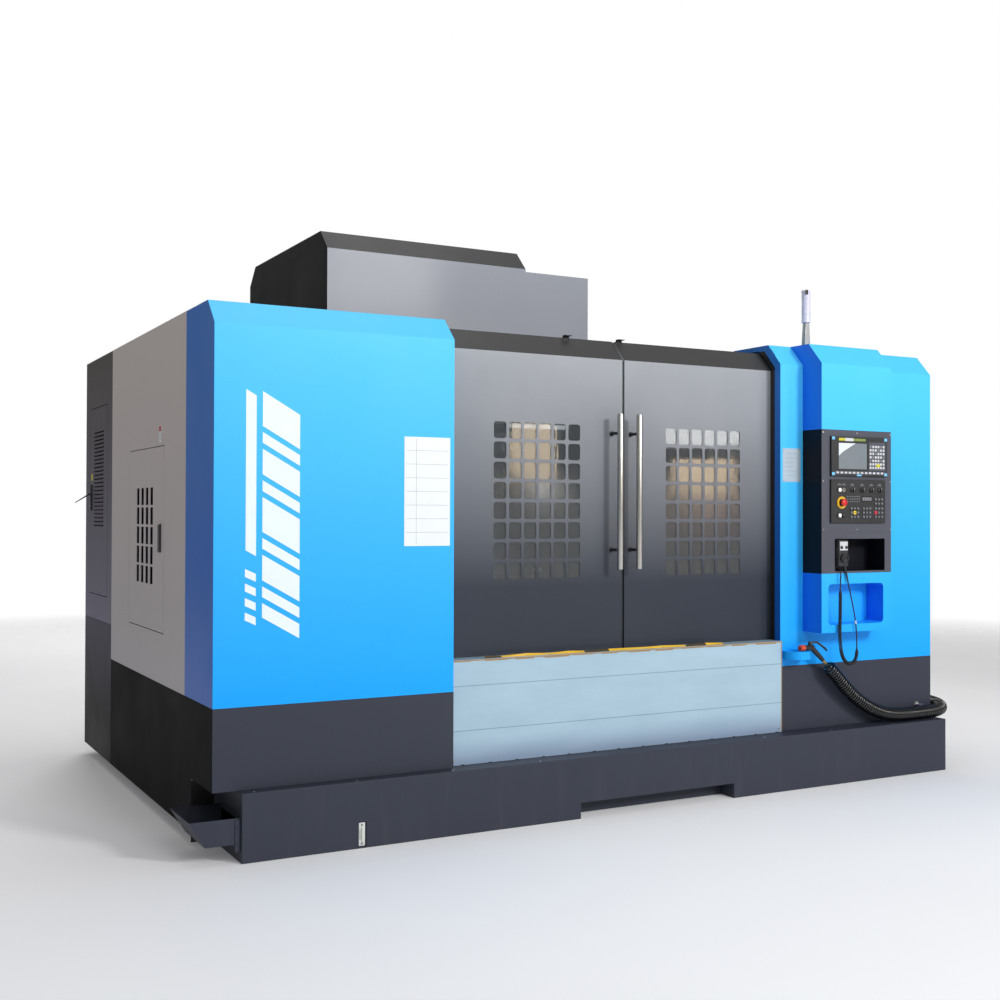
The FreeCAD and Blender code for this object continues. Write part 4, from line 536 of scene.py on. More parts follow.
def folded(name, node, radius, *finishes, pick=None, steps=3, room=7.0, cut=None):
    # a copy of a CAD piece with its folds rounded as a press brake leaves them
    work = bmesh.new()
    work.from_mesh(nodes[node].data)
    bmesh.ops.remove_doubles(work, verts=work.verts, dist=0.00002)
    bmesh.ops.dissolve_limit(work, angle_limit=math.radians(0.6), verts=work.verts, edges=work.edges,
                             delimit=set())

    def roomy(edge):
        long = edge.calc_length()
        return long > 0.02 and all(f.calc_area() / long > room / 1000 for f in edge.link_faces)

    folds = [e for e in work.edges if e.is_manifold and e.is_convex
             and e.calc_face_angle() > 0.3 and roomy(e)]
    bmesh.ops.bevel(work, geom=folds, offset=radius / 1000, offset_type="OFFSET", affect="EDGES",
                    segments=steps, profile=0.5, material=-1, clamp_overlap=True)
    if cut:
        bmesh.ops.bisect_plane(work, geom=work.verts[:] + work.edges[:] + work.faces[:], dist=0.00001,
                               plane_co=(0, 0, cut / 1000), plane_no=(0, 0, 1))
    if pick:
        for face in work.faces:
            face.material_index = pick(face)
    made = settled(work, name, nodes[node]["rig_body"], finishes, 30)
    weights = made.modifiers.new("Weights", "WEIGHTED_NORMAL")
    weights.keep_sharp = True
    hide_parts(node)
    return made


def dress(finish, *names):
    for name in names:
        data = nodes[name].data
        data.materials.clear()
        data.materials.append(looks[finish])


routes = {
    "tail": [(3434, 22, 1182), (3434, -30, 1182), (3435, -80, 1187), (3434, -115, 1167), (3430, -112, 1112),
             (3430, -112, 1058)],
    "curly": [(3430, -112, 1058), (3430, -112, 950), (3426, -110, 800), (3443, -111, 703), (3482, -112, 664),
              (3522, -111, 664), (3553, -110, 692), (3553, -110, 735)],
    "lead": [(3553, -110, 735), (3553, -110, 800), (3548, -109, 872), (3535, -109, 940), (3519, -108, 1005),
             (3503.4, -107.4, 1064.3), (3489, -106, 1121)],
    "hose": [(3417, -15, 658.3), (3483, -15, 598.3), (3565, -13, 515), (3655, -12, 444), (3758, -11, 386),
             (3870, -10, 348), (3986, -9, 334.6), (4100, -8, 334.8), (4208, -6, 335.5), (4302, 3, 338),
             (4377, 42, 346), (4410, 115, 356), (4398, 190, 366), (4358, 236, 374), (4300, 236, 374)],
}
cords = {  # in metres: half thickness of the cord, then reach and pitch of its turns
    "tail": {"half": 0.0035},
    "curly": {"half": 0.0025, "reach": 0.0079, "pitch": 0.0062, "perTurn": 12, "resolution": 3},
    "lead": {"half": 0.0035},
    "hose": {"half": 0.0055, "reach": 0.0335, "pitch": 0.0165, "perTurn": 14, "resolution": 2},
}


def routeCurve(name, points, radius, resolution=10):
    data = bpy.data.curves.new(name, "CURVE")
    data.dimensions = "3D"
    data.resolution_u = resolution
    line = data.splines.new("NURBS")
    line.points.add(len(points) - 1)
    for point, place in zip(line.points, points):
        point.co = (*place, 1)
    line.order_u = 3
    line.use_endpoint_u = True
    if radius:
        data.bevel_depth = radius
        data.bevel_resolution = 3
        data.use_fill_caps = True
    made = bpy.data.objects.new(name, data)
    bpy.context.scene.collection.objects.link(made)
    return made


def linePoints(points):  # the route's own smooth line, as places along it
    guide = routeCurve("Guide", points, 0, 16)
    bpy.context.view_layer.update()
    seen = bpy.context.evaluated_depsgraph_get()
    mesh = bpy.data.meshes.new_from_object(guide.evaluated_get(seen))
    places = [v.co.copy() for v in mesh.vertices]
    bpy.data.objects.remove(guide)
    bpy.data.meshes.remove(mesh)
    return places


def helixOn(places, radius, pitch, perTurn):  # turns round a line, closing in to it at both ends
    gaps = [(b - a).length for a, b in zip(places, places[1:])]
    total = sum(gaps)
    count = int(total / pitch * perTurn)
    side = (places[1] - places[0]).orthogonal().normalized()
    turns, step, walked = [], 0, 0.0
    for i in range(count + 1):
        target = total * i / count
        while step < len(gaps) - 1 and walked + gaps[step] < target:
            walked += gaps[step]
            step += 1
        ahead = (places[step + 1] - places[step]).normalized()
        side = (side - ahead * side.dot(ahead)).normalized()
        across = ahead.cross(side)
        angle = 2 * math.pi * i / perTurn
        reach = radius * min(1.0, target / radius + 0.02, (total - target) / radius + 0.02)
        turns.append(places[step] + ahead * (target - walked)
                     + (side * math.cos(angle) + across * math.sin(angle)) * reach)
    return turns


def lengthOf(points):  # of the smooth line that these points steer
    places = linePoints(points)
    return round(sum((b - a).length for a, b in zip(places, places[1:])), 3)


def makeCord(name, route, node, finish):
    c = cords[route]
    way = [spot(*p) for p in routes[route]]
    points = helixOn(linePoints(way), c["reach"], c["pitch"], c["perTurn"]) if "pitch" in c else way
    cord = routeCurve(name, points, c["half"], c.get("resolution", 10))
    cord.data.materials.append(looks[finish])
    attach(cord, "machine")
    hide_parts(node)
    steered = [Vector(p.co[:3]) for p in cord.data.splines[0].points]
    lengthOf(steered)


makeCord("PendantTail", "tail", "pendant_cord_tail", "CordRubber")
makeCord("PendantCurl", "curly", "pendant_cord_coil", "CordRubber")
makeCord("PendantLead", "lead", "pendant_cord_lead", "CordRubber")
makeCord("AirHose", "hose", "gun_hose_coil", "HosePlastic")
print("cords made")


coverSet = {"plinthTop": 843.0, "blueFold": 4.0, "skirtFold": 3.0, "panelFold": 2.5, "doorFold": 1.2}


def makeCovers():
    # faces turned to the left take the darker copy of their paint: painted shade
    def leftFacing(face):
        return 1 if face.normal.x < -0.7 else 0

    def plinth(face):  # the cabinet is painted dark below this height
        return 1 if face.calc_center_median().z < coverSet["plinthTop"] / 1000 else 0

    # housing sides take the near-black copy and its sloped top the dark grey copy: both painted shade
    def housingSide(face):
        if abs(face.normal.x) > 0.7:
            return 1
        return 2 if face.normal.z > 0.4 else 0

    c = coverSet
    folded("LeftCover", "left_front_cover", c["blueFold"], "CoverBlue", "CoverBlueSide", pick=leftFacing)
    folded("RightCover", "right_front_cover", c["blueFold"], "CoverBlue", "CoverBlueSide", pick=leftFacing)
    folded("Skirts", "skirt_panels", c["skirtFold"], "SkirtDark", "SkirtSideDark", pick=leftFacing)
    folded("Panels", "side_panels", c["panelFold"], "PanelWarmGrey")
    folded("Cabinet", "electrical_cabinet", c["skirtFold"], "CabinetGrey", "PlinthGrey", cut=c["plinthTop"],
           pick=plinth)
    folded("CabinetDoor", "cabinet_door", c["doorFold"], "CabinetGrey", room=9.0)
    folded("MagazineDoor", "side_door", c["doorFold"], "PanelWarmGrey", room=9.0)
    folded("Tank", "coolant_tank", c["panelFold"], "SkirtDark")
    folded("FillerChute", "tank_filler_chute", 2.0, "SkirtDark", room=9.0)
    folded("Housings", "top_covers", c["skirtFold"], "HousingGrey", "HousingDark", "SlopeGrey", pick=housingSide)
    folded("Apron", "front_apron", 2.0, "FilmedSteel")
    folded("GunCup", "gun_holder", 2.0, "CoverBlue", room=9.0)
    dress("RailBlack", "door_track")
    dress("GalvanisedSheet", "splash_guards")
    dress("ScrewSteel", "cover_screws")
    print("covers made")


makeCovers()


doorSet = {"grip": 15.6, "gripDepth": 16, "bracketInset": 98, "bracket": 8, "foot": 13, "fold": 3.0}


def makeDoors():
    # the doors' sloped faces take the darker grey copy: painted shade
    def tilted(face):
        return 1 if 0.3 < face.normal.z < 0.95 and face.normal.y < -0.2 else 0

    folded("LeftDoor", "left_door", doorSet["fold"], "DoorGrey", "DoorSlope", pick=tilted)
    folded("RightDoor", "right_door", doorSet["fold"], "DoorGrey", "DoorSlope", pick=tilted)
    dress("DoorGlass", "left_door_glass", "right_door_glass")
    r, inset = doorSet["grip"], doorSet["bracketInset"]
    end = [(0, 0), (r - 3, 0), (r - 0.8, 0.9), (r, 3)]  # the bar's rounded end
    for side in ("left", "right"):
        low, high = span(side + "_door_handle")
        x, y = (low[0] + high[0]) / 2, low[1] + doorSet["gripDepth"]
        bar = Shape()
        bar.turned([(w, low[2] + h) for w, h in end] + [(w, high[2] - h) for w, h in reversed(end)],
                   (x, y, 0), (0, 0, 1), 40)
        for z in (low[2] + inset, high[2] - inset):
            bar.post((x, y + 10, z), (x, high[1], z), doorSet["bracket"], sides=24, shade=1)
            bar.post((x, high[1] - 5, z), (x, high[1], z), doorSet["foot"], soft=1, sides=28, shade=1)
        bar.piece(side.capitalize() + "Handle", side + "_door", "HandleSteel", "RailBlack",
                  standsFor=side + "_door_handle")
    print("doors made")


makeDoors()


floorSet = {"half": 14000, "middle": (2096, 1351), "thick": 20, "drop": 0.5}


def makeFloor():
    half, (x, y) = floorSet["half"], floorSet["middle"]
    floor = Shape()
    floor.block(x - half, x + half, y - half, y + half, -floorSet["thick"], -floorSet["drop"])
    floor.piece("Floor", None, "FloorPale")
    print("floor made")


makeFloor()


stripeSet = {  # the long bar, its four short dashes and the column of slanted bars beside them
    "bar": (140, 186), "barTop": 2010, "barTall": 690, "barSlant": 26,
    "dash": (138, 186), "dashes": (1240, 1178, 1116, 1054), "dashTall": 34, "dashSlant": 22,
    "column": (214, 382), "columnTop": 2004, "columnSlant": 96, "columnGap": 26,
    "columnTalls": (150, 46, 110, 46, 150, 46, 110, 46, 62), "thick": 0.4, "rise": 0.05,
}
plateSet = {
    "notice": (881, 1113, 1330, 1830), "rules": 7, "ruleStep": 62.5,
    "data": (3168, 3296, 1658, 1842), "dataFace": 55.0, "dataLines": 6, "rivets": ((3175, 3289), (1666, 1834)),
    "rivet": [(0, 1.2), (2.4, 0.9), (3.2, 0), (0, 0)],
}


def makeMarks():
    c = stripeSet
    marks = Shape()

    def slantedBar(across, top, tall, slant):
        (x0, x1), y = across, -c["rise"]
        marks.sheetOf([(x0, y, top), (x0, y, top - tall), (x1, y, top - tall - slant), (x1, y, top - slant)],
                      (0, -c["thick"], 0))

    slantedBar(c["bar"], c["barTop"], c["barTall"], c["barSlant"])
    for top in c["dashes"]:
        slantedBar(c["dash"], top, c["dashTall"], c["dashSlant"])
    top = c["columnTop"]
    for tall in c["columnTalls"]:
        slantedBar(c["column"], top, tall, c["columnSlant"])
        top -= tall + c["columnGap"]
    marks.piece("CoverStripes", "machine", "StripeFoil")

    p = plateSet
    plate = Shape()  # blank notice plate: pale with faint ruled lines
    left, right, foot, head = p["notice"]
    plate.tile(left, right, foot, head, 0, 1.0, 0.05, soft=0.3)
    for i in range(1, p["rules"] + 1):
        z = foot + i * p["ruleStep"]
        plate.tile(left + 9, right - 9, z - 0.8, z + 0.8, 0, 1.15, 0.95, shade=1)
    plate.tile(left + 59, left + 60.6, foot + 8, head - 8, 0, 1.15, 0.95, shade=1)
    plate.piece("NoticePlate", "machine", "PlatePale", "RuleGrey")

    data = Shape()
    left, right, foot, head = p["data"]
    face = p["dataFace"]
    data.tile(left, right, foot, head, face, 0.9, 0.05, soft=0.3)
    for x in p["rivets"][0]:
        for z in p["rivets"][1]:
            data.turned(p["rivet"], (x, face - 0.9, z), (0, -1, 0), 12, shade=1)
    for i in range(p["dataLines"]):
        z = head - 30 - i * 24
        data.tile(left + 18, right - 22 - (i * 11) % 34, z, z + 3, face, 1.1, 0.85, shade=2)
    data.piece("DataPlate", "machine", "PlateSilver", "ScrewSteel", "RuleGrey")

    tag = Shape()  # small tags on the left side
    tag.block(-0.8, -0.02, 915, 960, 1822, 1905)
    tag.block(-0.95, -0.78, 918, 957, 1876, 1902, shade=1)
    for i in range(4):
        tag.block(-0.95, -0.78, 926, 948, 1834 + i * 10, 1837 + i * 10, shade=2)
    tag.piece("SideTag", "machine", "PlatePale", "TagRed", "RuleGrey")
    tag = Shape()
    tag.block(-0.8, -0.02, 2622, 2668, 1672, 1712)
    tag.piece("CabinetTag", "cabinet_door", "TagYellow")
    print("marks made")


makeMarks()


sillSet = {
    "stripTall": 5.5, "tornPieces": 12, "tornStep": 165, "tapeFrom": 1330.0, "tapeTo": 2660, "tapeThick": 1.2,
    "screwInset": 25, "screw": [(0, 2.6), (3.2, 2.3), (5.2, 1.0), (5.4, 0), (0, 0)],
    "clips": 14, "clipStep": 147, "clipWide": 16, "clipTall": 3.5,
}


def makeSill():
    c = sillSet
    low, high = span("front_apron")
    face, top = low[1], high[2]
    edge = Shape()  # brown edging where the film ends
    edge.tile(low[0] + 1, high[0] - 1, top - 7, top - 7 + c["stripTall"], face, 0.9, 0.05)
    for i in range(c["tornPieces"]):
        x = low[0] + 20 + i * c["tornStep"]
        edge.tile(x, x + 90 + (i * 37) % 60, top - 9 - (i * 5) % 4, top - 4, face, 1.4, 0.8)
    for x in (low[0] + 1, high[0] - 6):
        edge.tile(x, x + 5, low[2] + 4, top - 7, face, 0.9, 0.05)
    edge.piece("FilmEdge", "machine", "FilmEdgeBrown")
    tape = Shape()  # loose yellow tape along the sill
    x, k = c["tapeFrom"], 0
    while x < c["tapeTo"]:
        long = 90 + (k * 53) % 70
        lift = 3 + 6 * math.sin(k * 1.7) ** 2
        liftBefore = 3 + 6 * math.sin((k - 1) * 1.7) ** 2
        tape.sheetOf([(x, face + 14, top + 0.4), (x + long, face + 14 + 5 * math.sin(k), top + 0.4),
                      (x + long, face + 22, top + 4 + lift), (x, face + 22, top + 4 + liftBefore)],
                     (0, c["tapeThick"], 0), shade=0 if k % 5 else 1)
        x += long
        k += 1
    tape.piece("SillTape", "machine", "TapeYellow", "TapeShadow")
    screws = Shape()
    for x in (low[0] + c["screwInset"], high[0] - c["screwInset"]):
        screws.turned(c["screw"], (x, face, low[2] + 22), (0, -1, 0), 20)
    screws.piece("ApronScrews", "machine", "ScrewSteel")
    clips = Shape()  # edge clips along the apron's foot
    for i in range(c["clips"]):
        x = low[0] + 60 + i * c["clipStep"]
        clips.tile(x, x + c["clipWide"], low[2], low[2] + c["clipTall"], face, 1.2, 0.05)
    clips.piece("ApronClips", "machine", "RailBlack")
    print("sill made")


makeSill()


trimSet = {"gapShadeTall": 1480, "stops": (("LeftStop", "left_door", 1861.0), ("RightStop", "right_door", 2185.0)),
           "stopWide": 38, "stopRise": 8, "collar": [(8.4, 0), (12, 0), (12, 5), (10, 7), (8.4, 7), (8.4, 0)],
           "glassRim": 9}


def makeDoorTrim():
    low, high = span("right_door")
    # black strip in the gap between the doors: painted shade in the gap
    strip = Shape()
    strip.block(low[0] - 7.5, low[0] - 0.05, low[1] + 8, low[1] + 34, low[2] + 4, low[2] + trimSet["gapShadeTall"],
                soft=1.5)
    strip.piece("DoorGapShade", "right_door", "SealRubber")
    for name, body, x in trimSet["stops"]:
        stop = Shape()
        y, top = high[1] - 14, high[2] + trimSet["stopRise"]  # clears the covers as the doors run under them
        stop.block(x, x + trimSet["stopWide"], y - 4, y, high[2] - 40, top, soft=1.0)
        stop.block(x, x + trimSet["stopWide"], y - 30, y - 4, top - 4, top, soft=1.0)
        stop.piece(name, body, "SealRubber")
    for side in ("left", "right"):
        low, high = span(side + "_door_handle")
        collars = Shape()
        for z in (low[2] + doorSet["bracketInset"], high[2] - doorSet["bracketInset"]):
            collars.turned(trimSet["collar"], ((low[0] + high[0]) / 2, high[1] - 7.2, z), (0, 1, 0), 28)
        collars.piece(side.capitalize() + "HandleCollars", side + "_door", "RailBlack")
    rim = trimSet["glassRim"]
    for side in ("left", "right"):  # rubber round each window glass
        (x0, y0, z0), (x1, y1, z1) = span(side + "_door_glass")
        seal = Shape()
        for box in ((x0, x1, z1 + 0.2, z1 + rim), (x0, x1, z0 - rim, z0 - 0.2),
                    (x0 - rim, x0 - 0.2, z0 - rim, z1 + rim), (x1 + 0.2, x1 + rim, z0 - rim, z1 + rim)):
            seal.block(box[0], box[1], y0 + 0.05, y1 + 3, box[2], box[3], soft=1)
        seal.piece(side.capitalize() + "GlassSeal", side + "_door", "SealRubber")
    print("door trim made")


makeDoorTrim()


screenSet = {
    "display": (3424, 3632, 1729, 1871), "softKeyBar": (3396, 3770, 1700, 1718),
    "keyField": (3645, 3770, 1722, 1880),
    "softKeys": 12, "softKeyFrom": 3404, "softKeyStep": 30, "keyRows": 7, "keyColumns": 6,
    "keyFrom": (3650, 1862), "keyStep": (19.6, 19.4), "yellowKey": (3700, 3728, 1742, 1760),
    "gleam": ((3424, 1871), (3424, 1800), (3452, 1822), (3510, 1852), (3548, 1871)),
    "strips": ((3424, 3470, 1884, 1898, 0.7), (3470, 3530, 1882, 1899, 0.75), (3530, 3620, 1884, 1897, 0.7)),
    "tabs": ((3374, 3394, 1694, 1710), (3374, 3394, 1888, 1904), (3762, 3782, 1694, 1710),
             (3762, 3782, 1888, 1904), (3556, 3590, 1691, 1700)),
}
panelSet = {
    "ringDepth": 5, "selectors": (3524, 3596, 3665, 3727), "lampAt": 3428, "lockAt": 3461, "upperRow": 1614,
    "stopAt": (3445, 1545), "startRow": 1475,
    "keyBlocks": ((3508, 1458, 3), (3598, 1458, 3), (3688, 1458, 3), (3688, 1532, 2)), "keyStep": (23.4, 23),
    "yellowKey": (3508, 1458, 1, 1), "redKey": (3688, 1458, 1, 0), "counter": (3594, 3672, 1550, 1580),
}


def makeControl():
    # the casing's faces turned to the left take the darker blue copy: painted shade
    folded("ControlCasing", "control_housing", 3.0, "CoverBlue", "CasingBlueSide",
           pick=lambda face: 1 if face.normal.x < -0.7 else 0)
    # the fascia's sides, returns and cut-out walls take the near-black copy: painted shade
    folded("ControlFascia", "control_fascia", 2.0, "FasciaGrey", "FasciaDark",
           pick=lambda face: 0 if face.normal.y < -0.5 and face.calc_center_median().y < corner.y - 0.08 else 1)
    folded("ScreenFrame", "screen_unit", 2.5, "UnitBlack", room=4.0)
    folded("PanelFrame", "operator_panel", 2.0, "UnitBlack", room=4.0)
    makeScreen(span("screen_unit")[0][1])
    makePanel(span("operator_panel")[0][1] + panelSet["ringDepth"])  # the plate lies behind its rings
    print("control made")


def makeScreen(front):
    c = screenSet
    face = Shape()  # display, its soft keys and the key field
    face.tile(*c["display"], front, -1.0, -2.4, soft=0.5)
    face.tile(*c["softKeyBar"], front, 0.6, soft=0.4, shade=3)
    face.tile(*c["keyField"], front, 0.6, soft=0.4, shade=3)
    face.sheetOf([(x, front + 0.95, z) for x, z in c["gleam"]], (0, -0.3, 0), shade=4)
    for i in range(c["softKeys"]):
        x = c["softKeyFrom"] + i * c["softKeyStep"]
        face.tile(x, x + 19, 1704, 1714, front, 2.0, 0.5, soft=0.8, shade=1)
    for row in range(c["keyRows"]):
        for column in range(c["keyColumns"]):
            x = c["keyFrom"][0] + column * c["keyStep"][0]
            z = c["keyFrom"][1] - row * c["keyStep"][1]
            grey = (row + column) % 4 == 0 and row <= 4
            face.tile(x, x + 14, z - 13, z, front, 2.2, 0.5, soft=0.9, shade=2 if grey else 1)
    face.tile(*c["yellowKey"], front, 2.6, 2.0, soft=0.9, shade=5)
    face.piece("ScreenFace", "machine", "ScreenPanel", "KeyWhite", "KeyGrey", "BezelSteel", "ScreenGleam",
               "StripYellow")
    strip = Shape()  # coloured strip over the display and blue film at the corners
    for shade, (x0, x1, z0, z1, rise) in enumerate(c["strips"]):
        strip.tile(x0, x1, z0, z1, front, rise, shade=shade)
    for box in c["tabs"]:
        strip.tile(*box, front, 0.9, soft=0.3, shade=3)
    strip.piece("ScreenStrip", "machine", "StripYellow", "KeyWhite", "StripGreen", "FilmTab")


def makePanel(plate):
    c = panelSet
    row1 = c["upperRow"]
    keys = Shape()
    for x0, z0, rows in c["keyBlocks"]:
        for row in range(rows):
            for column in range(3):
                x, z = x0 + column * c["keyStep"][0], z0 + row * c["keyStep"][1]
                this = (x0, z0, row, column)
                lit = 1 if this == c["yellowKey"] else 2 if this == c["redKey"] else 0
                keys.block(x, x + 19, plate - 4, plate - 0.02, z, z + 18, soft=1.6, shade=lit)
                keys.block(x + 5, x + 14, plate - 4.2, plate - 3.9, z + 6, z + 12, shade=0 if lit else 3)
    for row in range(3):  # the small lamps
        for column in range(8):
            x, z = 3484 + column * 12.5, 1548 + row * 14
            keys.tile(x, x + 6, z, z + 6, plate, 1.2, soft=0.6, shade=3)
    keys.tile(*c["counter"], plate, 0.8, soft=0.4, shade=4)
    for i in range(5):
        keys.tile(3599 + i * 14, 3609 + i * 14, 1556, 1575, plate, 1.1, 0.7, shade=3)
    for x in (c["lampAt"], c["lockAt"], *c["selectors"]):
        keys.tile(x - 14, x + 14, 1640, 1643, plate, 0.3, shade=3)
        keys.tile(x - 9, x + 9, 1646, 1648.5, plate, 0.3, shade=3)
    for x in c["selectors"]:  # scale ticks round each selector
        keys.ticks((x, row1), 22, range(-60, 61, 20), plate, 0.3, 0.02, 0.8, 1.8, shade=3)
    keys.piece("PanelKeys", "machine", "KeyDark", "KeyYellow", "KeyRed", "KeyGrey", "CounterDark")
    lock = Shape()  # key switch with its barrel
    x = c["lockAt"]
    lock.turned([(0, 6), (6, 6), (7, 5), (7, 2), (11, 2), (12, 0), (0, 0)], (x, plate, row1), (0, -1, 0), 28)
    lock.block(x - 1, x + 1, plate - 6.6, plate - 5.9, row1 - 5, row1 + 5, shade=1)
    lock.piece("KeySwitch", "machine", "ScrewSteel", "UnitBlack")
    ring = Shape()
    x, z = c["stopAt"]
    ring.turned([(20.5, 0), (34, 0), (34.3, -1.5), (33, -3.2), (22, -3.6), (20.5, -3), (20.5, 0)],
                (x, plate, z), (0, 1, 0), 44)
    ring.piece("StopRing", "machine", "RingYellow")
    stop = Shape()
    near = span("emergency_stop")[0][1]
    stop.turned([(0, 0), (12, 0.3), (17, 1.6), (19.6, 4.5), (20, 8), (19.4, 11), (17, 12), (9, 12.2), (9, 40),
                 (0, 40)], (x, near, z), (0, 1, 0), 44)
    stop.ticks((x, z), 15.2, range(0, 360, 30), near, -0.9, -1.6, 1, 1)
    stop.piece("StopHead", "emergency_stop", "StopRed", standsFor="emergency_stop")
    near = plate - 0.3
    for i, x in enumerate(c["selectors"]):
        knob = Shape()
        knob.turned([(0, 6.5), (10.5, 6.5), (12.4, 5.4), (13, 3), (13, 0), (4, 0), (4, -12), (0, -12)],
                    (x, near, row1), (0, -1, 0), 40)
        knob.block(x - 3.6, x + 3.6, near - 16, near - 5, row1 - 12, row1 + 12, soft=1.8, steps=3)
        knob.block(x - 0.8, x + 0.8, near - 16.2, near - 15.8, row1, row1 + 11, shade=1)
        node = "selector_%d" % (i + 1)
        knob.piece("Selector%d" % (i + 1), node, "UnitBlack", "KeyWhite", standsFor=node)
    for name, node, x, z, finish in (("LampButton", "lamp_button", c["lampAt"], row1, "ButtonWhite"),
                                     ("StartButton", "start_button", c["lampAt"], c["startRow"], "ButtonWhite"),
                                     ("HoldButton", "hold_button", c["lockAt"], c["startRow"], "UnitBlack")):
        button = Shape()
        low, high = span(node)
        deep = high[1] - low[1]
        button.turned([(0, 0), (8.5, 0.15), (10.4, 0.9), (11, 2.2), (11, 5), (4, 5), (4, deep), (0, deep)],
                      (x, low[1], z), (0, 1, 0), 36)
        button.piece(name, node, finish, standsFor=node)


makeControl()


pendantSet = {
    "wide": 72, "tall": 145, "foot": 1196.0, "front": -118.0, "deep": 40, "wheelUp": 48, "knobsUp": 104,
    "knobApart": 17, "reliefRoot": (3468.5, -104, 1202), "reliefEnd": (3489, -106, 1121), "ribs": 5,
    "wheel": [(0, -12), (3, -12), (3, 0), (24, 0), (26, 1.5), (26, 12), (24.6, 14), (21, 14), (20, 11.5),
              (10, 11), (9, 14), (0, 14)],
    "scale": [(28, 0), (31, 0), (31, 0.8), (28, 0.8), (28, 0)],
    "grip": [(0, 0), (4, 0), (4.4, 5), (4, 11), (2.5, 12.2), (0, 12.4)],
    "knob": [(0, -8), (2, -8), (2, 0), (7.6, 0), (8, 0.8), (8, 3.4), (7, 4.4), (0, 4.4)],
    "curlEnds": (((3430, -112, 1046), (3430, -112, 1066)), ((3553, -110, 722), (3553, -110, 744))),
}


def makePendant():
    c = pendantSet
    x0 = span("pendant_body")[0][0]
    x1, front, z0 = x0 + c["wide"], c["front"], c["foot"]
    middleX, wheelZ, knobZ = (x0 + x1) / 2, z0 + c["wheelUp"], z0 + c["knobsUp"]
    root, end = Vector(c["reliefRoot"]), Vector(c["reliefEnd"])
    body = Shape()
    body.block(x0, x1, front, front + c["deep"], z0, z0 + c["tall"], soft=8, steps=5)
    body.post(root, end, 6.5, 4.3, sides=24)
    along = (end - root).normalized() * 1.4
    for i in range(c["ribs"]):  # ribs of the strain relief
        t = 0.2 + i * 0.15
        place = root.lerp(end, t)
        body.post(place - along, place + along, 7.0 - t * 1.6, sides=24)
    body.block(x0 - 2.0, x0 + 0.5, front + 10, front + 30, z0 + 48, z0 + 108, soft=1)
    body.piece("PendantBody", "machine", "UnitBlack", standsFor="pendant_body")
    trim = Shape()  # pale field round the knobs and the wheel's scale
    trim.tile(x0 + 8, x1 - 8, z0 + 88, z0 + 136, front, 0.7, soft=0.4)
    for side in (-1, 1):
        trim.ticks((middleX + side * c["knobApart"], knobZ), 11.5, range(-60, 61, 30), front, 0.85, 0.6, 0.6, 1.2,
                   shade=1)
    trim.turned(c["scale"], (middleX, front, wheelZ), (0, -1, 0), 48, shade=2)
    trim.ticks((middleX, wheelZ), 29.5, [k * 360 / 25 for k in range(25)], front, 1.0, 0.75, 0.5, 0.9)
    trim.piece("PendantLabel", "machine", "KeyWhite", "UnitBlack", "UnitBlack")
    near = front - 0.3
    wheel = Shape()
    wheel.turned(c["wheel"], (middleX, near, wheelZ), (0, -1, 0), 48)
    for k in range(24):  # knurls
        a = math.radians(k * 15)
        x, z = middleX + 25.6 * math.cos(a), wheelZ + 25.6 * math.sin(a)
        wheel.post((x, near - 3, z), (x, near - 11, z), 0.9, sides=8)
    wheel.turned(c["grip"], (middleX + 14, near - 10.5, wheelZ), (0, -1, 0), 24)
    wheel.piece("PendantWheel", "pendant_wheel", "UnitBlack", standsFor="pendant_wheel")
    for name, node, side in (("AxisKnob", "axis_knob", -1), ("StepKnob", "step_knob", 1)):
        knob = Shape()
        x = middleX + side * c["knobApart"]
        knob.turned(c["knob"], (x, near, knobZ), (0, -1, 0), 32)
        knob.block(x - 2.4, x + 2.4, near - 10, near - 4, knobZ - 7, knobZ + 7, soft=1.2)
        knob.block(x - 0.5, x + 0.5, near - 10.2, near - 9.8, knobZ, knobZ + 6, shade=1)
        knob.piece(name, node, "UnitBlack", "KeyWhite", standsFor=node)
    clip = Shape()  # pale clip on the thin lead
    clip.post((3546.8, -109.2, 880), (3543.6, -109.2, 898), 5.2, soft=1, sides=20)
    clip.piece("LeadClip", "machine", "KeyWhite")
    ends = Shape()  # moulded ends of the curl
    for start, stop in c["curlEnds"]:
        ends.post(start, stop, 8.5, 5.5, soft=1, sides=24)
    ends.piece("CurlEnds", "machine", "CordRubber")
    print("pendant made")


makePendant()


gunSet = {
    "barrel": (-15.0, 752.3), "handleTop": (3318, -15.0, 748.3), "handleEnd": (3395, -15.0, 678.3),
    "tailEnd": (3417, -15.0, 658.3), "pivot": (3303.0, 779.3), "ridges": 7,
    "tip": [(7, 18), (7, 0), (13, 0), (15.4, 1.5), (15.4, 8), (16.6, 9), (16.6, 22), (17, 24), (17, 30), (0, 30),
            (0, 18), (7, 18)],
    "case": [(0, 0), (13.5, 0), (15, 2), (15, 62), (13, 66), (0, 66)],
    "trigger": ((-6, -4), (46, -4), (102, -40), (118, -54), (124, -48), (110, -32), (50, 5), (-6, 5)),
    "triggerThick": 8,
}


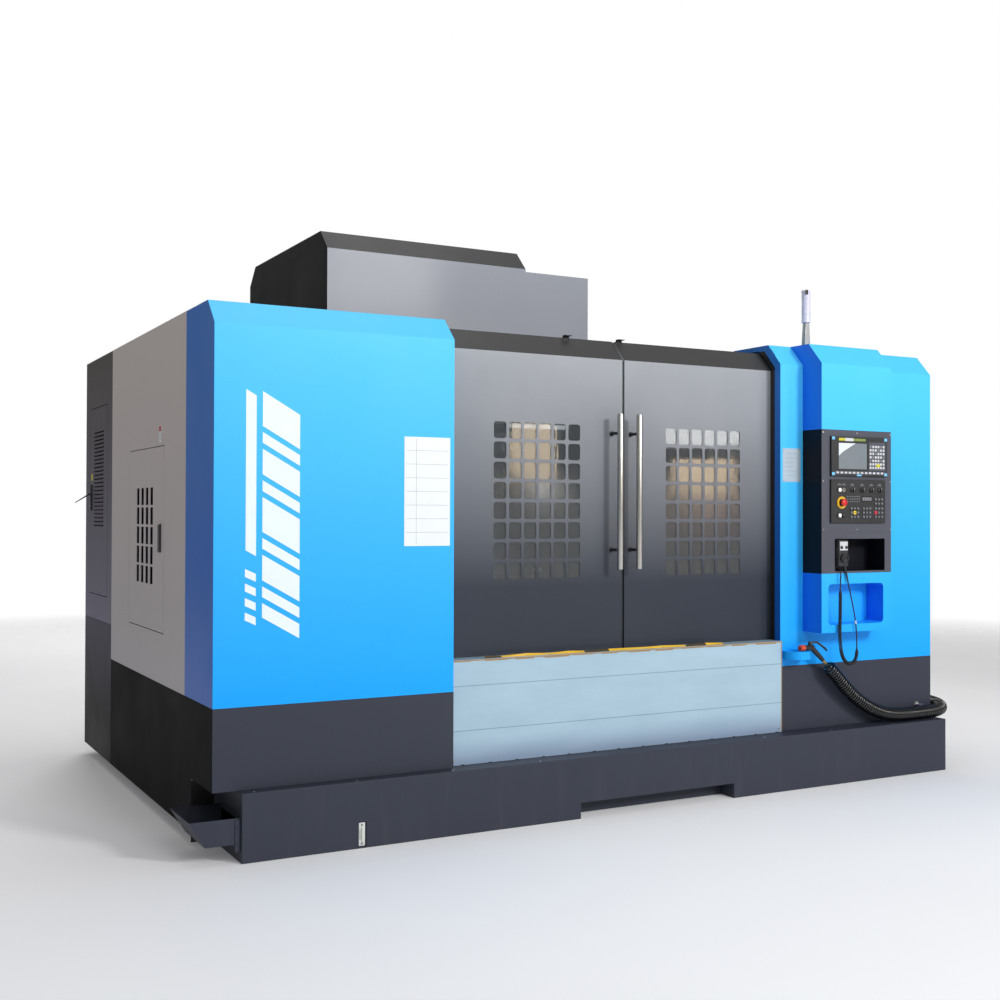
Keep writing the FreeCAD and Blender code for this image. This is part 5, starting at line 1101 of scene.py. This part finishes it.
def makeGun():
    c = gunSet
    x = span("spray_gun")[0][0]
    y, z = c["barrel"]
    body = Shape()
    body.turned(c["tip"], (x, y, z), (1, 0, 0), 36, shade=1)
    body.turned(c["case"], (x + 30, y, z), (1, 0, 0), 36)
    top, end, tailEnd = Vector(c["handleTop"]), Vector(c["handleEnd"]), Vector(c["tailEnd"])
    body.post(top, end, 14.5, 11.5, soft=2, steps=3, sides=32)
    axis = (end - top).normalized()
    for i in range(c["ridges"]):
        place = top + axis * (24 + i * 10)
        body.post(place - axis * 1.6, place + axis * 1.6, 14.6 - i * 0.3, sides=32, soft=0.6)
    px, pz = c["pivot"]
    body.block(px - 8, px + 8, y - 9, y - 4.3, z, 785, soft=1.5)
    body.block(px - 8, px + 8, y + 4.3, y + 9, z, 785, soft=1.5)
    body.post((px, y - 9.6, pz), (px, y + 9.6, pz), 2, sides=16, shade=2)
    run = (tailEnd - end).normalized()  # brass nut, neck and connector
    body.post(end, end + run * 9, 9.5, sides=6, soft=0.6, shade=2)
    body.post(end + run * 9, end + run * 20, 7.6, sides=24, soft=0.8, shade=2)
    body.post(end + run * 20, tailEnd, 8.4, 7.6, sides=6, soft=0.5, shade=2)
    body.piece("SprayGun", "machine", "UnitBlack", "NozzleOrange", "GunBrass", standsFor="spray_gun")
    trigger = Shape()
    trigger.sheetOf([(px + a, y - c["triggerThick"] / 2, pz + b) for a, b in c["trigger"]],
                    (0, c["triggerThick"], 0), soft=1.2)
    trigger.piece("GunTrigger", "gun_trigger", "UnitBlack", standsFor="gun_trigger")
    print("gun made")


makeGun()


lampSet = {
    "bracketTall": 150, "bracketFoot": 22, "bracketHead": 13, "bracketDeep": 28,
    "tube": [(0, 0), (24, 0), (26, 2), (26, 8), (25, 9), (25, 172), (25.5, 174), (26, 176), (26, 182), (23, 185),
             (0, 185)],
    "joint": [(25, 0), (25.8, 0.6), (25.8, 2.4), (25, 3), (25, 0)], "jointHeights": (48, 90, 132),
}


def makeLamp():
    c = lampSet
    low, high = span("tower_lamp")
    x, y, foot = (low[0] + high[0]) / 2, (low[1] + high[1]) / 2, low[2]
    wide, narrow = c["bracketFoot"], c["bracketHead"]
    back, head = y - c["bracketDeep"] / 2, foot + c["bracketTall"]
    lamp = Shape()
    lamp.sheetOf([(x - wide, back, foot), (x + wide, back, foot), (x + narrow, back, head),
                  (x - narrow, back, head)], (0, c["bracketDeep"], 0), soft=1.5, shade=2)
    lamp.turned(c["tube"], (x, y, head), (0, 0, 1), 40)
    for height in c["jointHeights"]:
        lamp.turned(c["joint"], (x, y, head + height), (0, 0, 1), 40)
    lamp.block(x - 25, x - 6, y - 26, y - 22, head + 158, head + 184, soft=1, shade=1)
    lamp.piece("TowerLamp", "machine", "LampPale", "UnitBlack", "BracketSilver", standsFor="tower_lamp")
    print("lamp made")


makeLamp()


outerSet = {
    "gauge": (657.0, -56.0), "gaugeScrew": [(0, 3), (5, 3), (6, 2), (6, 0), (0, 0)],
    "lidScrews": (170, 640, 1110, 1580, 2960, 3430, 3900, 4230),
    "lidScrew": [(0, 2.2), (5, 2.0), (6.5, 0.6), (6.5, 0), (0, 0)],
    "panelScrew": [(0, 2.2), (4, 1.9), (5.4, 0.6), (5.4, 0), (0, 0)],
    "inlet": [(0, 34), (7, 34), (8, 32), (8, 24), (11, 24), (11, 16), (14, 14), (14, 3), (20, 3), (20, 0), (0, 0)],
    "lipBlue": ((100.2, 2286), (100.2, 2349.2), (133, 2390.8), (233, 2390.8), (233, 2386.2), (188.6, 2386.2)),
    "lipBlack": ((100.2, 2271), (100.2, 2286), (188.6, 2386.2), (233, 2386.2), (133.4, 2279.4), (131, 2276.6),
                 (131, 2271)),
    "shutLines": (1180, 2120, 3060), "pulls": (830, 1650, 2590, 3700), "louvres": 14, "glands": (3330, 3420, 3510),
    "gland": [(0, 30), (14, 30), (18, 26), (18, 10), (26, 8), (26, 0), (0, 0)],
    "backScrews": ((520, 1130, 1230, 2070, 2170, 3010, 3110, 4250), (100, 700, 1300, 1900, 2350)),
    "sideScrews": ((520, 1300, 2080, 2720), (720, 1500, 2340)), "sideAt": 4300,
    "vents": 25, "ventFrom": 1398, "ventStep": 23,
}


def makeTankTrim():
    c = outerSet
    gauge = Shape()  # level gauge in its recess
    x, y = c["gauge"]
    gauge.block(x - 15, x + 15, y - 1.0, y + 4, 10, 112, soft=1.5)
    gauge.post((x, y - 2, 30), (x, y - 2, 92), 4.4, sides=20, shade=1)
    for z in (20, 102):
        gauge.turned(c["gaugeScrew"], (x, y - 1, z), (0, -1, 0), 6, shade=2)
    gauge.block(x - 12, x - 8, y - 1.4, y - 0.9, 40, 84, shade=2)
    gauge.piece("LevelGauge", "machine", "GaugePale", "GaugeTube", "ScrewSteel")
    bolts = Shape()  # lid screws on the tank's top edge
    for x in c["lidScrews"]:
        bolts.turned(c["lidScrew"], (x, -40, 295), (0, 0, 1), 18)
    bolts.piece("TankLidScrews", "machine", "ScrewSteel")
    inlet = Shape()  # air inlet on the right skirt
    inlet.turned(c["inlet"], (4185, 55, 372), (0, -1, 0), 6)
    inlet.post((4172, 36, 372), (4214, 36, 372), 6, sides=20, soft=1, shade=1)
    inlet.piece("AirInlet", "machine", "ScrewSteel", "RingViolet")


def makeShadeClosers():  # sheets behind the covers' tops and the skirt's notch
    # closing plates in black, put in as painted shade behind the covers' tops and in the skirt's notch
    closers = Shape()
    for node in ("left_front_cover", "right_front_cover"):
        low, high = span(node)
        closers.block(low[0] + 4, high[0] - 4, high[1] - 6, high[1] - 3.4, 2377.4, high[2] - 3.6)
    closers.block(3.4, 107, 344, 346.5, 12, 288)
    closers.piece("ShadeClosingSheets", "machine", "RailBlack")
    lip = Shape()  # the right cover's edge, carried up round the door's slope
    side = low[0] + 0.2
    # the blue band takes the darker copy of the cover blue: painted shade
    lip.sheetOf([(side, y, z) for y, z in outerSet["lipBlue"]], (2.6, 0, 0))
    lip.sheetOf([(side + 0.8, y, z) for y, z in outerSet["lipBlack"]], (1.8, 0, 0), shade=1)
    lip.piece("RightCoverLip", "machine", "CoverBlueSide", "SealRubber")


def makeBack():  # shut lines, pulls, fan louvres, cable entries and screws
    c = outerSet
    y = span("side_panels")[1][1]
    back = Shape()
    for x in c["shutLines"]:
        back.block(x - 1, x + 1, y - 0.4, y + 0.3, 110, 2340)
    for x in c["pulls"]:
        back.block(x - 55, x + 55, y, y + 3, 1190, 1222, soft=1)
        back.block(x - 45, x + 45, y + 3, y + 26, 1200, 1212, soft=5, steps=3, shade=1)
    for row in range(c["louvres"]):
        back.block(2240, 2480, y, y + 7, 1700 + row * 28, 1712 + row * 28, soft=2.5, shade=2)
    for x in c["glands"]:
        back.turned(c["gland"], (x, y, 420), (0, 1, 0), 24, shade=1)
    back.piece("BackTrim", "machine", "RailBlack", "BlackPlastic", "PanelWarmGrey")
    screws = Shape()
    for x in c["backScrews"][0]:
        for z in c["backScrews"][1]:
            screws.turned(c["panelScrew"], (x, y, z), (0, 1, 0), 14)
    for across in c["sideScrews"][0]:
        for z in c["sideScrews"][1]:
            screws.turned(c["panelScrew"], (c["sideAt"], across, z), (1, 0, 0), 14)
    screws.piece("PanelScrews", "machine", "ScrewSteel")


def makeLeftSide():  # grip of the magazine door, lever plate and vent hoods
    c = outerSet
    pull = Shape()
    pull.block(-12, -0.05, 908, 936, 1285, 1424, soft=4, steps=3)
    pull.block(-13.2, -11.5, 916, 928, 1300, 1410, soft=0.8, steps=1)
    pull.piece("MagazineDoorGrip", "side_door", "RailBlack")
    lever = Shape()
    lever.block(-10, -0.05, 2636, 2672, 1490, 1646, soft=3)
    lever.post((-11, 2654, 1520), (-9.5, 2654, 1520), 8, sides=24, shade=1)
    lever.piece("LeverPlate", "cabinet_door", "RailBlack", "ScrewSteel")
    dress("RailBlack", "cabinet_lever")
    hood = Shape()
    for i in range(c["vents"]):
        z = c["ventFrom"] + i * c["ventStep"]
        hood.sheetOf([(-0.02, 2308, z + 13), (-4.5, 2310, z + 6), (-4.5, 2581, z + 6), (-0.02, 2583, z + 13)],
                     (0, 0, 1.2))
    hood.piece("VentHoods", "cabinet_door", "CabinetGrey")


makeTankTrim()
makeShadeClosers()
makeBack()
makeLeftSide()
print("trim made")


insideSet = {
    "castings": (("Bed", "machine_bed"), ("Column", "machine_column"), ("Saddle", "saddle"),
                 ("HeadCasting", "spindle_head"), ("MagazineFrame", "magazine_frame"), ("WorkTable", "table")),
    "edge": 5.0, "link": [(0, 0), (7, 0), (9, 4), (9, 10), (6, 15), (0, 15)], "links": 6, "noseBolts": 8,
    "noseBolt": [(0, 6), (5, 6), (6, 5), (6, 0), (0, 0)], "noseAt": (1130, 1850), "noseReach": 92,
}


def makeInside():
    c = insideSet
    for name, node in c["castings"]:  # tops of the table and the saddle are ground bright
        folded(name, node, c["edge"], "MachineCasting", "GroundSteel", room=20.0, steps=2,
               pick=(lambda face: 1 if face.normal.z > 0.98 else 0) if node in ("table", "saddle") else None)
    dress("GroundSteel", "spindle", "x_feed_screw", "y_feed_screw", "z_feed_screw", "tool_disc", "arm_shaft",
          "change_arm", "levelling_pads")
    dress("BlackPlastic", "feed_motors")
    low, high = span("spindle_head")
    x = (low[0] + high[0]) / 2
    lights = Shape()  # jointed coolant nozzles and the work light
    for side in (-1, 1):
        for k in range(3):
            foot = Vector((x + side * (118 + k * 12), 1010 + k * 40, 1990))
            for j in range(c["links"]):
                lights.turned(c["link"], foot + Vector((-side * j * 4.0, 0, -j * 13.5)), (0, 0, -1), 14)
            lights.post(foot + Vector((-side * 24, 0, -78)), foot + Vector((-side * 34, 0, -112)), 7, 3, sides=14,
                        shade=1)
    lights.block(x - 190, x + 190, 935, 968, 1962, 1988, soft=4, shade=2)
    lights.piece("CoolantNozzles", "spindle_head", "NozzleBlue", "NozzleRed", "WorkLight")
    bolts = Shape()
    for k in range(c["noseBolts"]):
        a = math.radians(22.5 + k * 45)
        place = (x + c["noseReach"] * math.cos(a), c["noseAt"][0] + c["noseReach"] * math.sin(a), c["noseAt"][1])
        bolts.turned(c["noseBolt"], place, (0, 0, -1), 12)
    bolts.piece("NoseBolts", "spindle_head", "ScrewSteel")
    print("inside made")


makeInside()
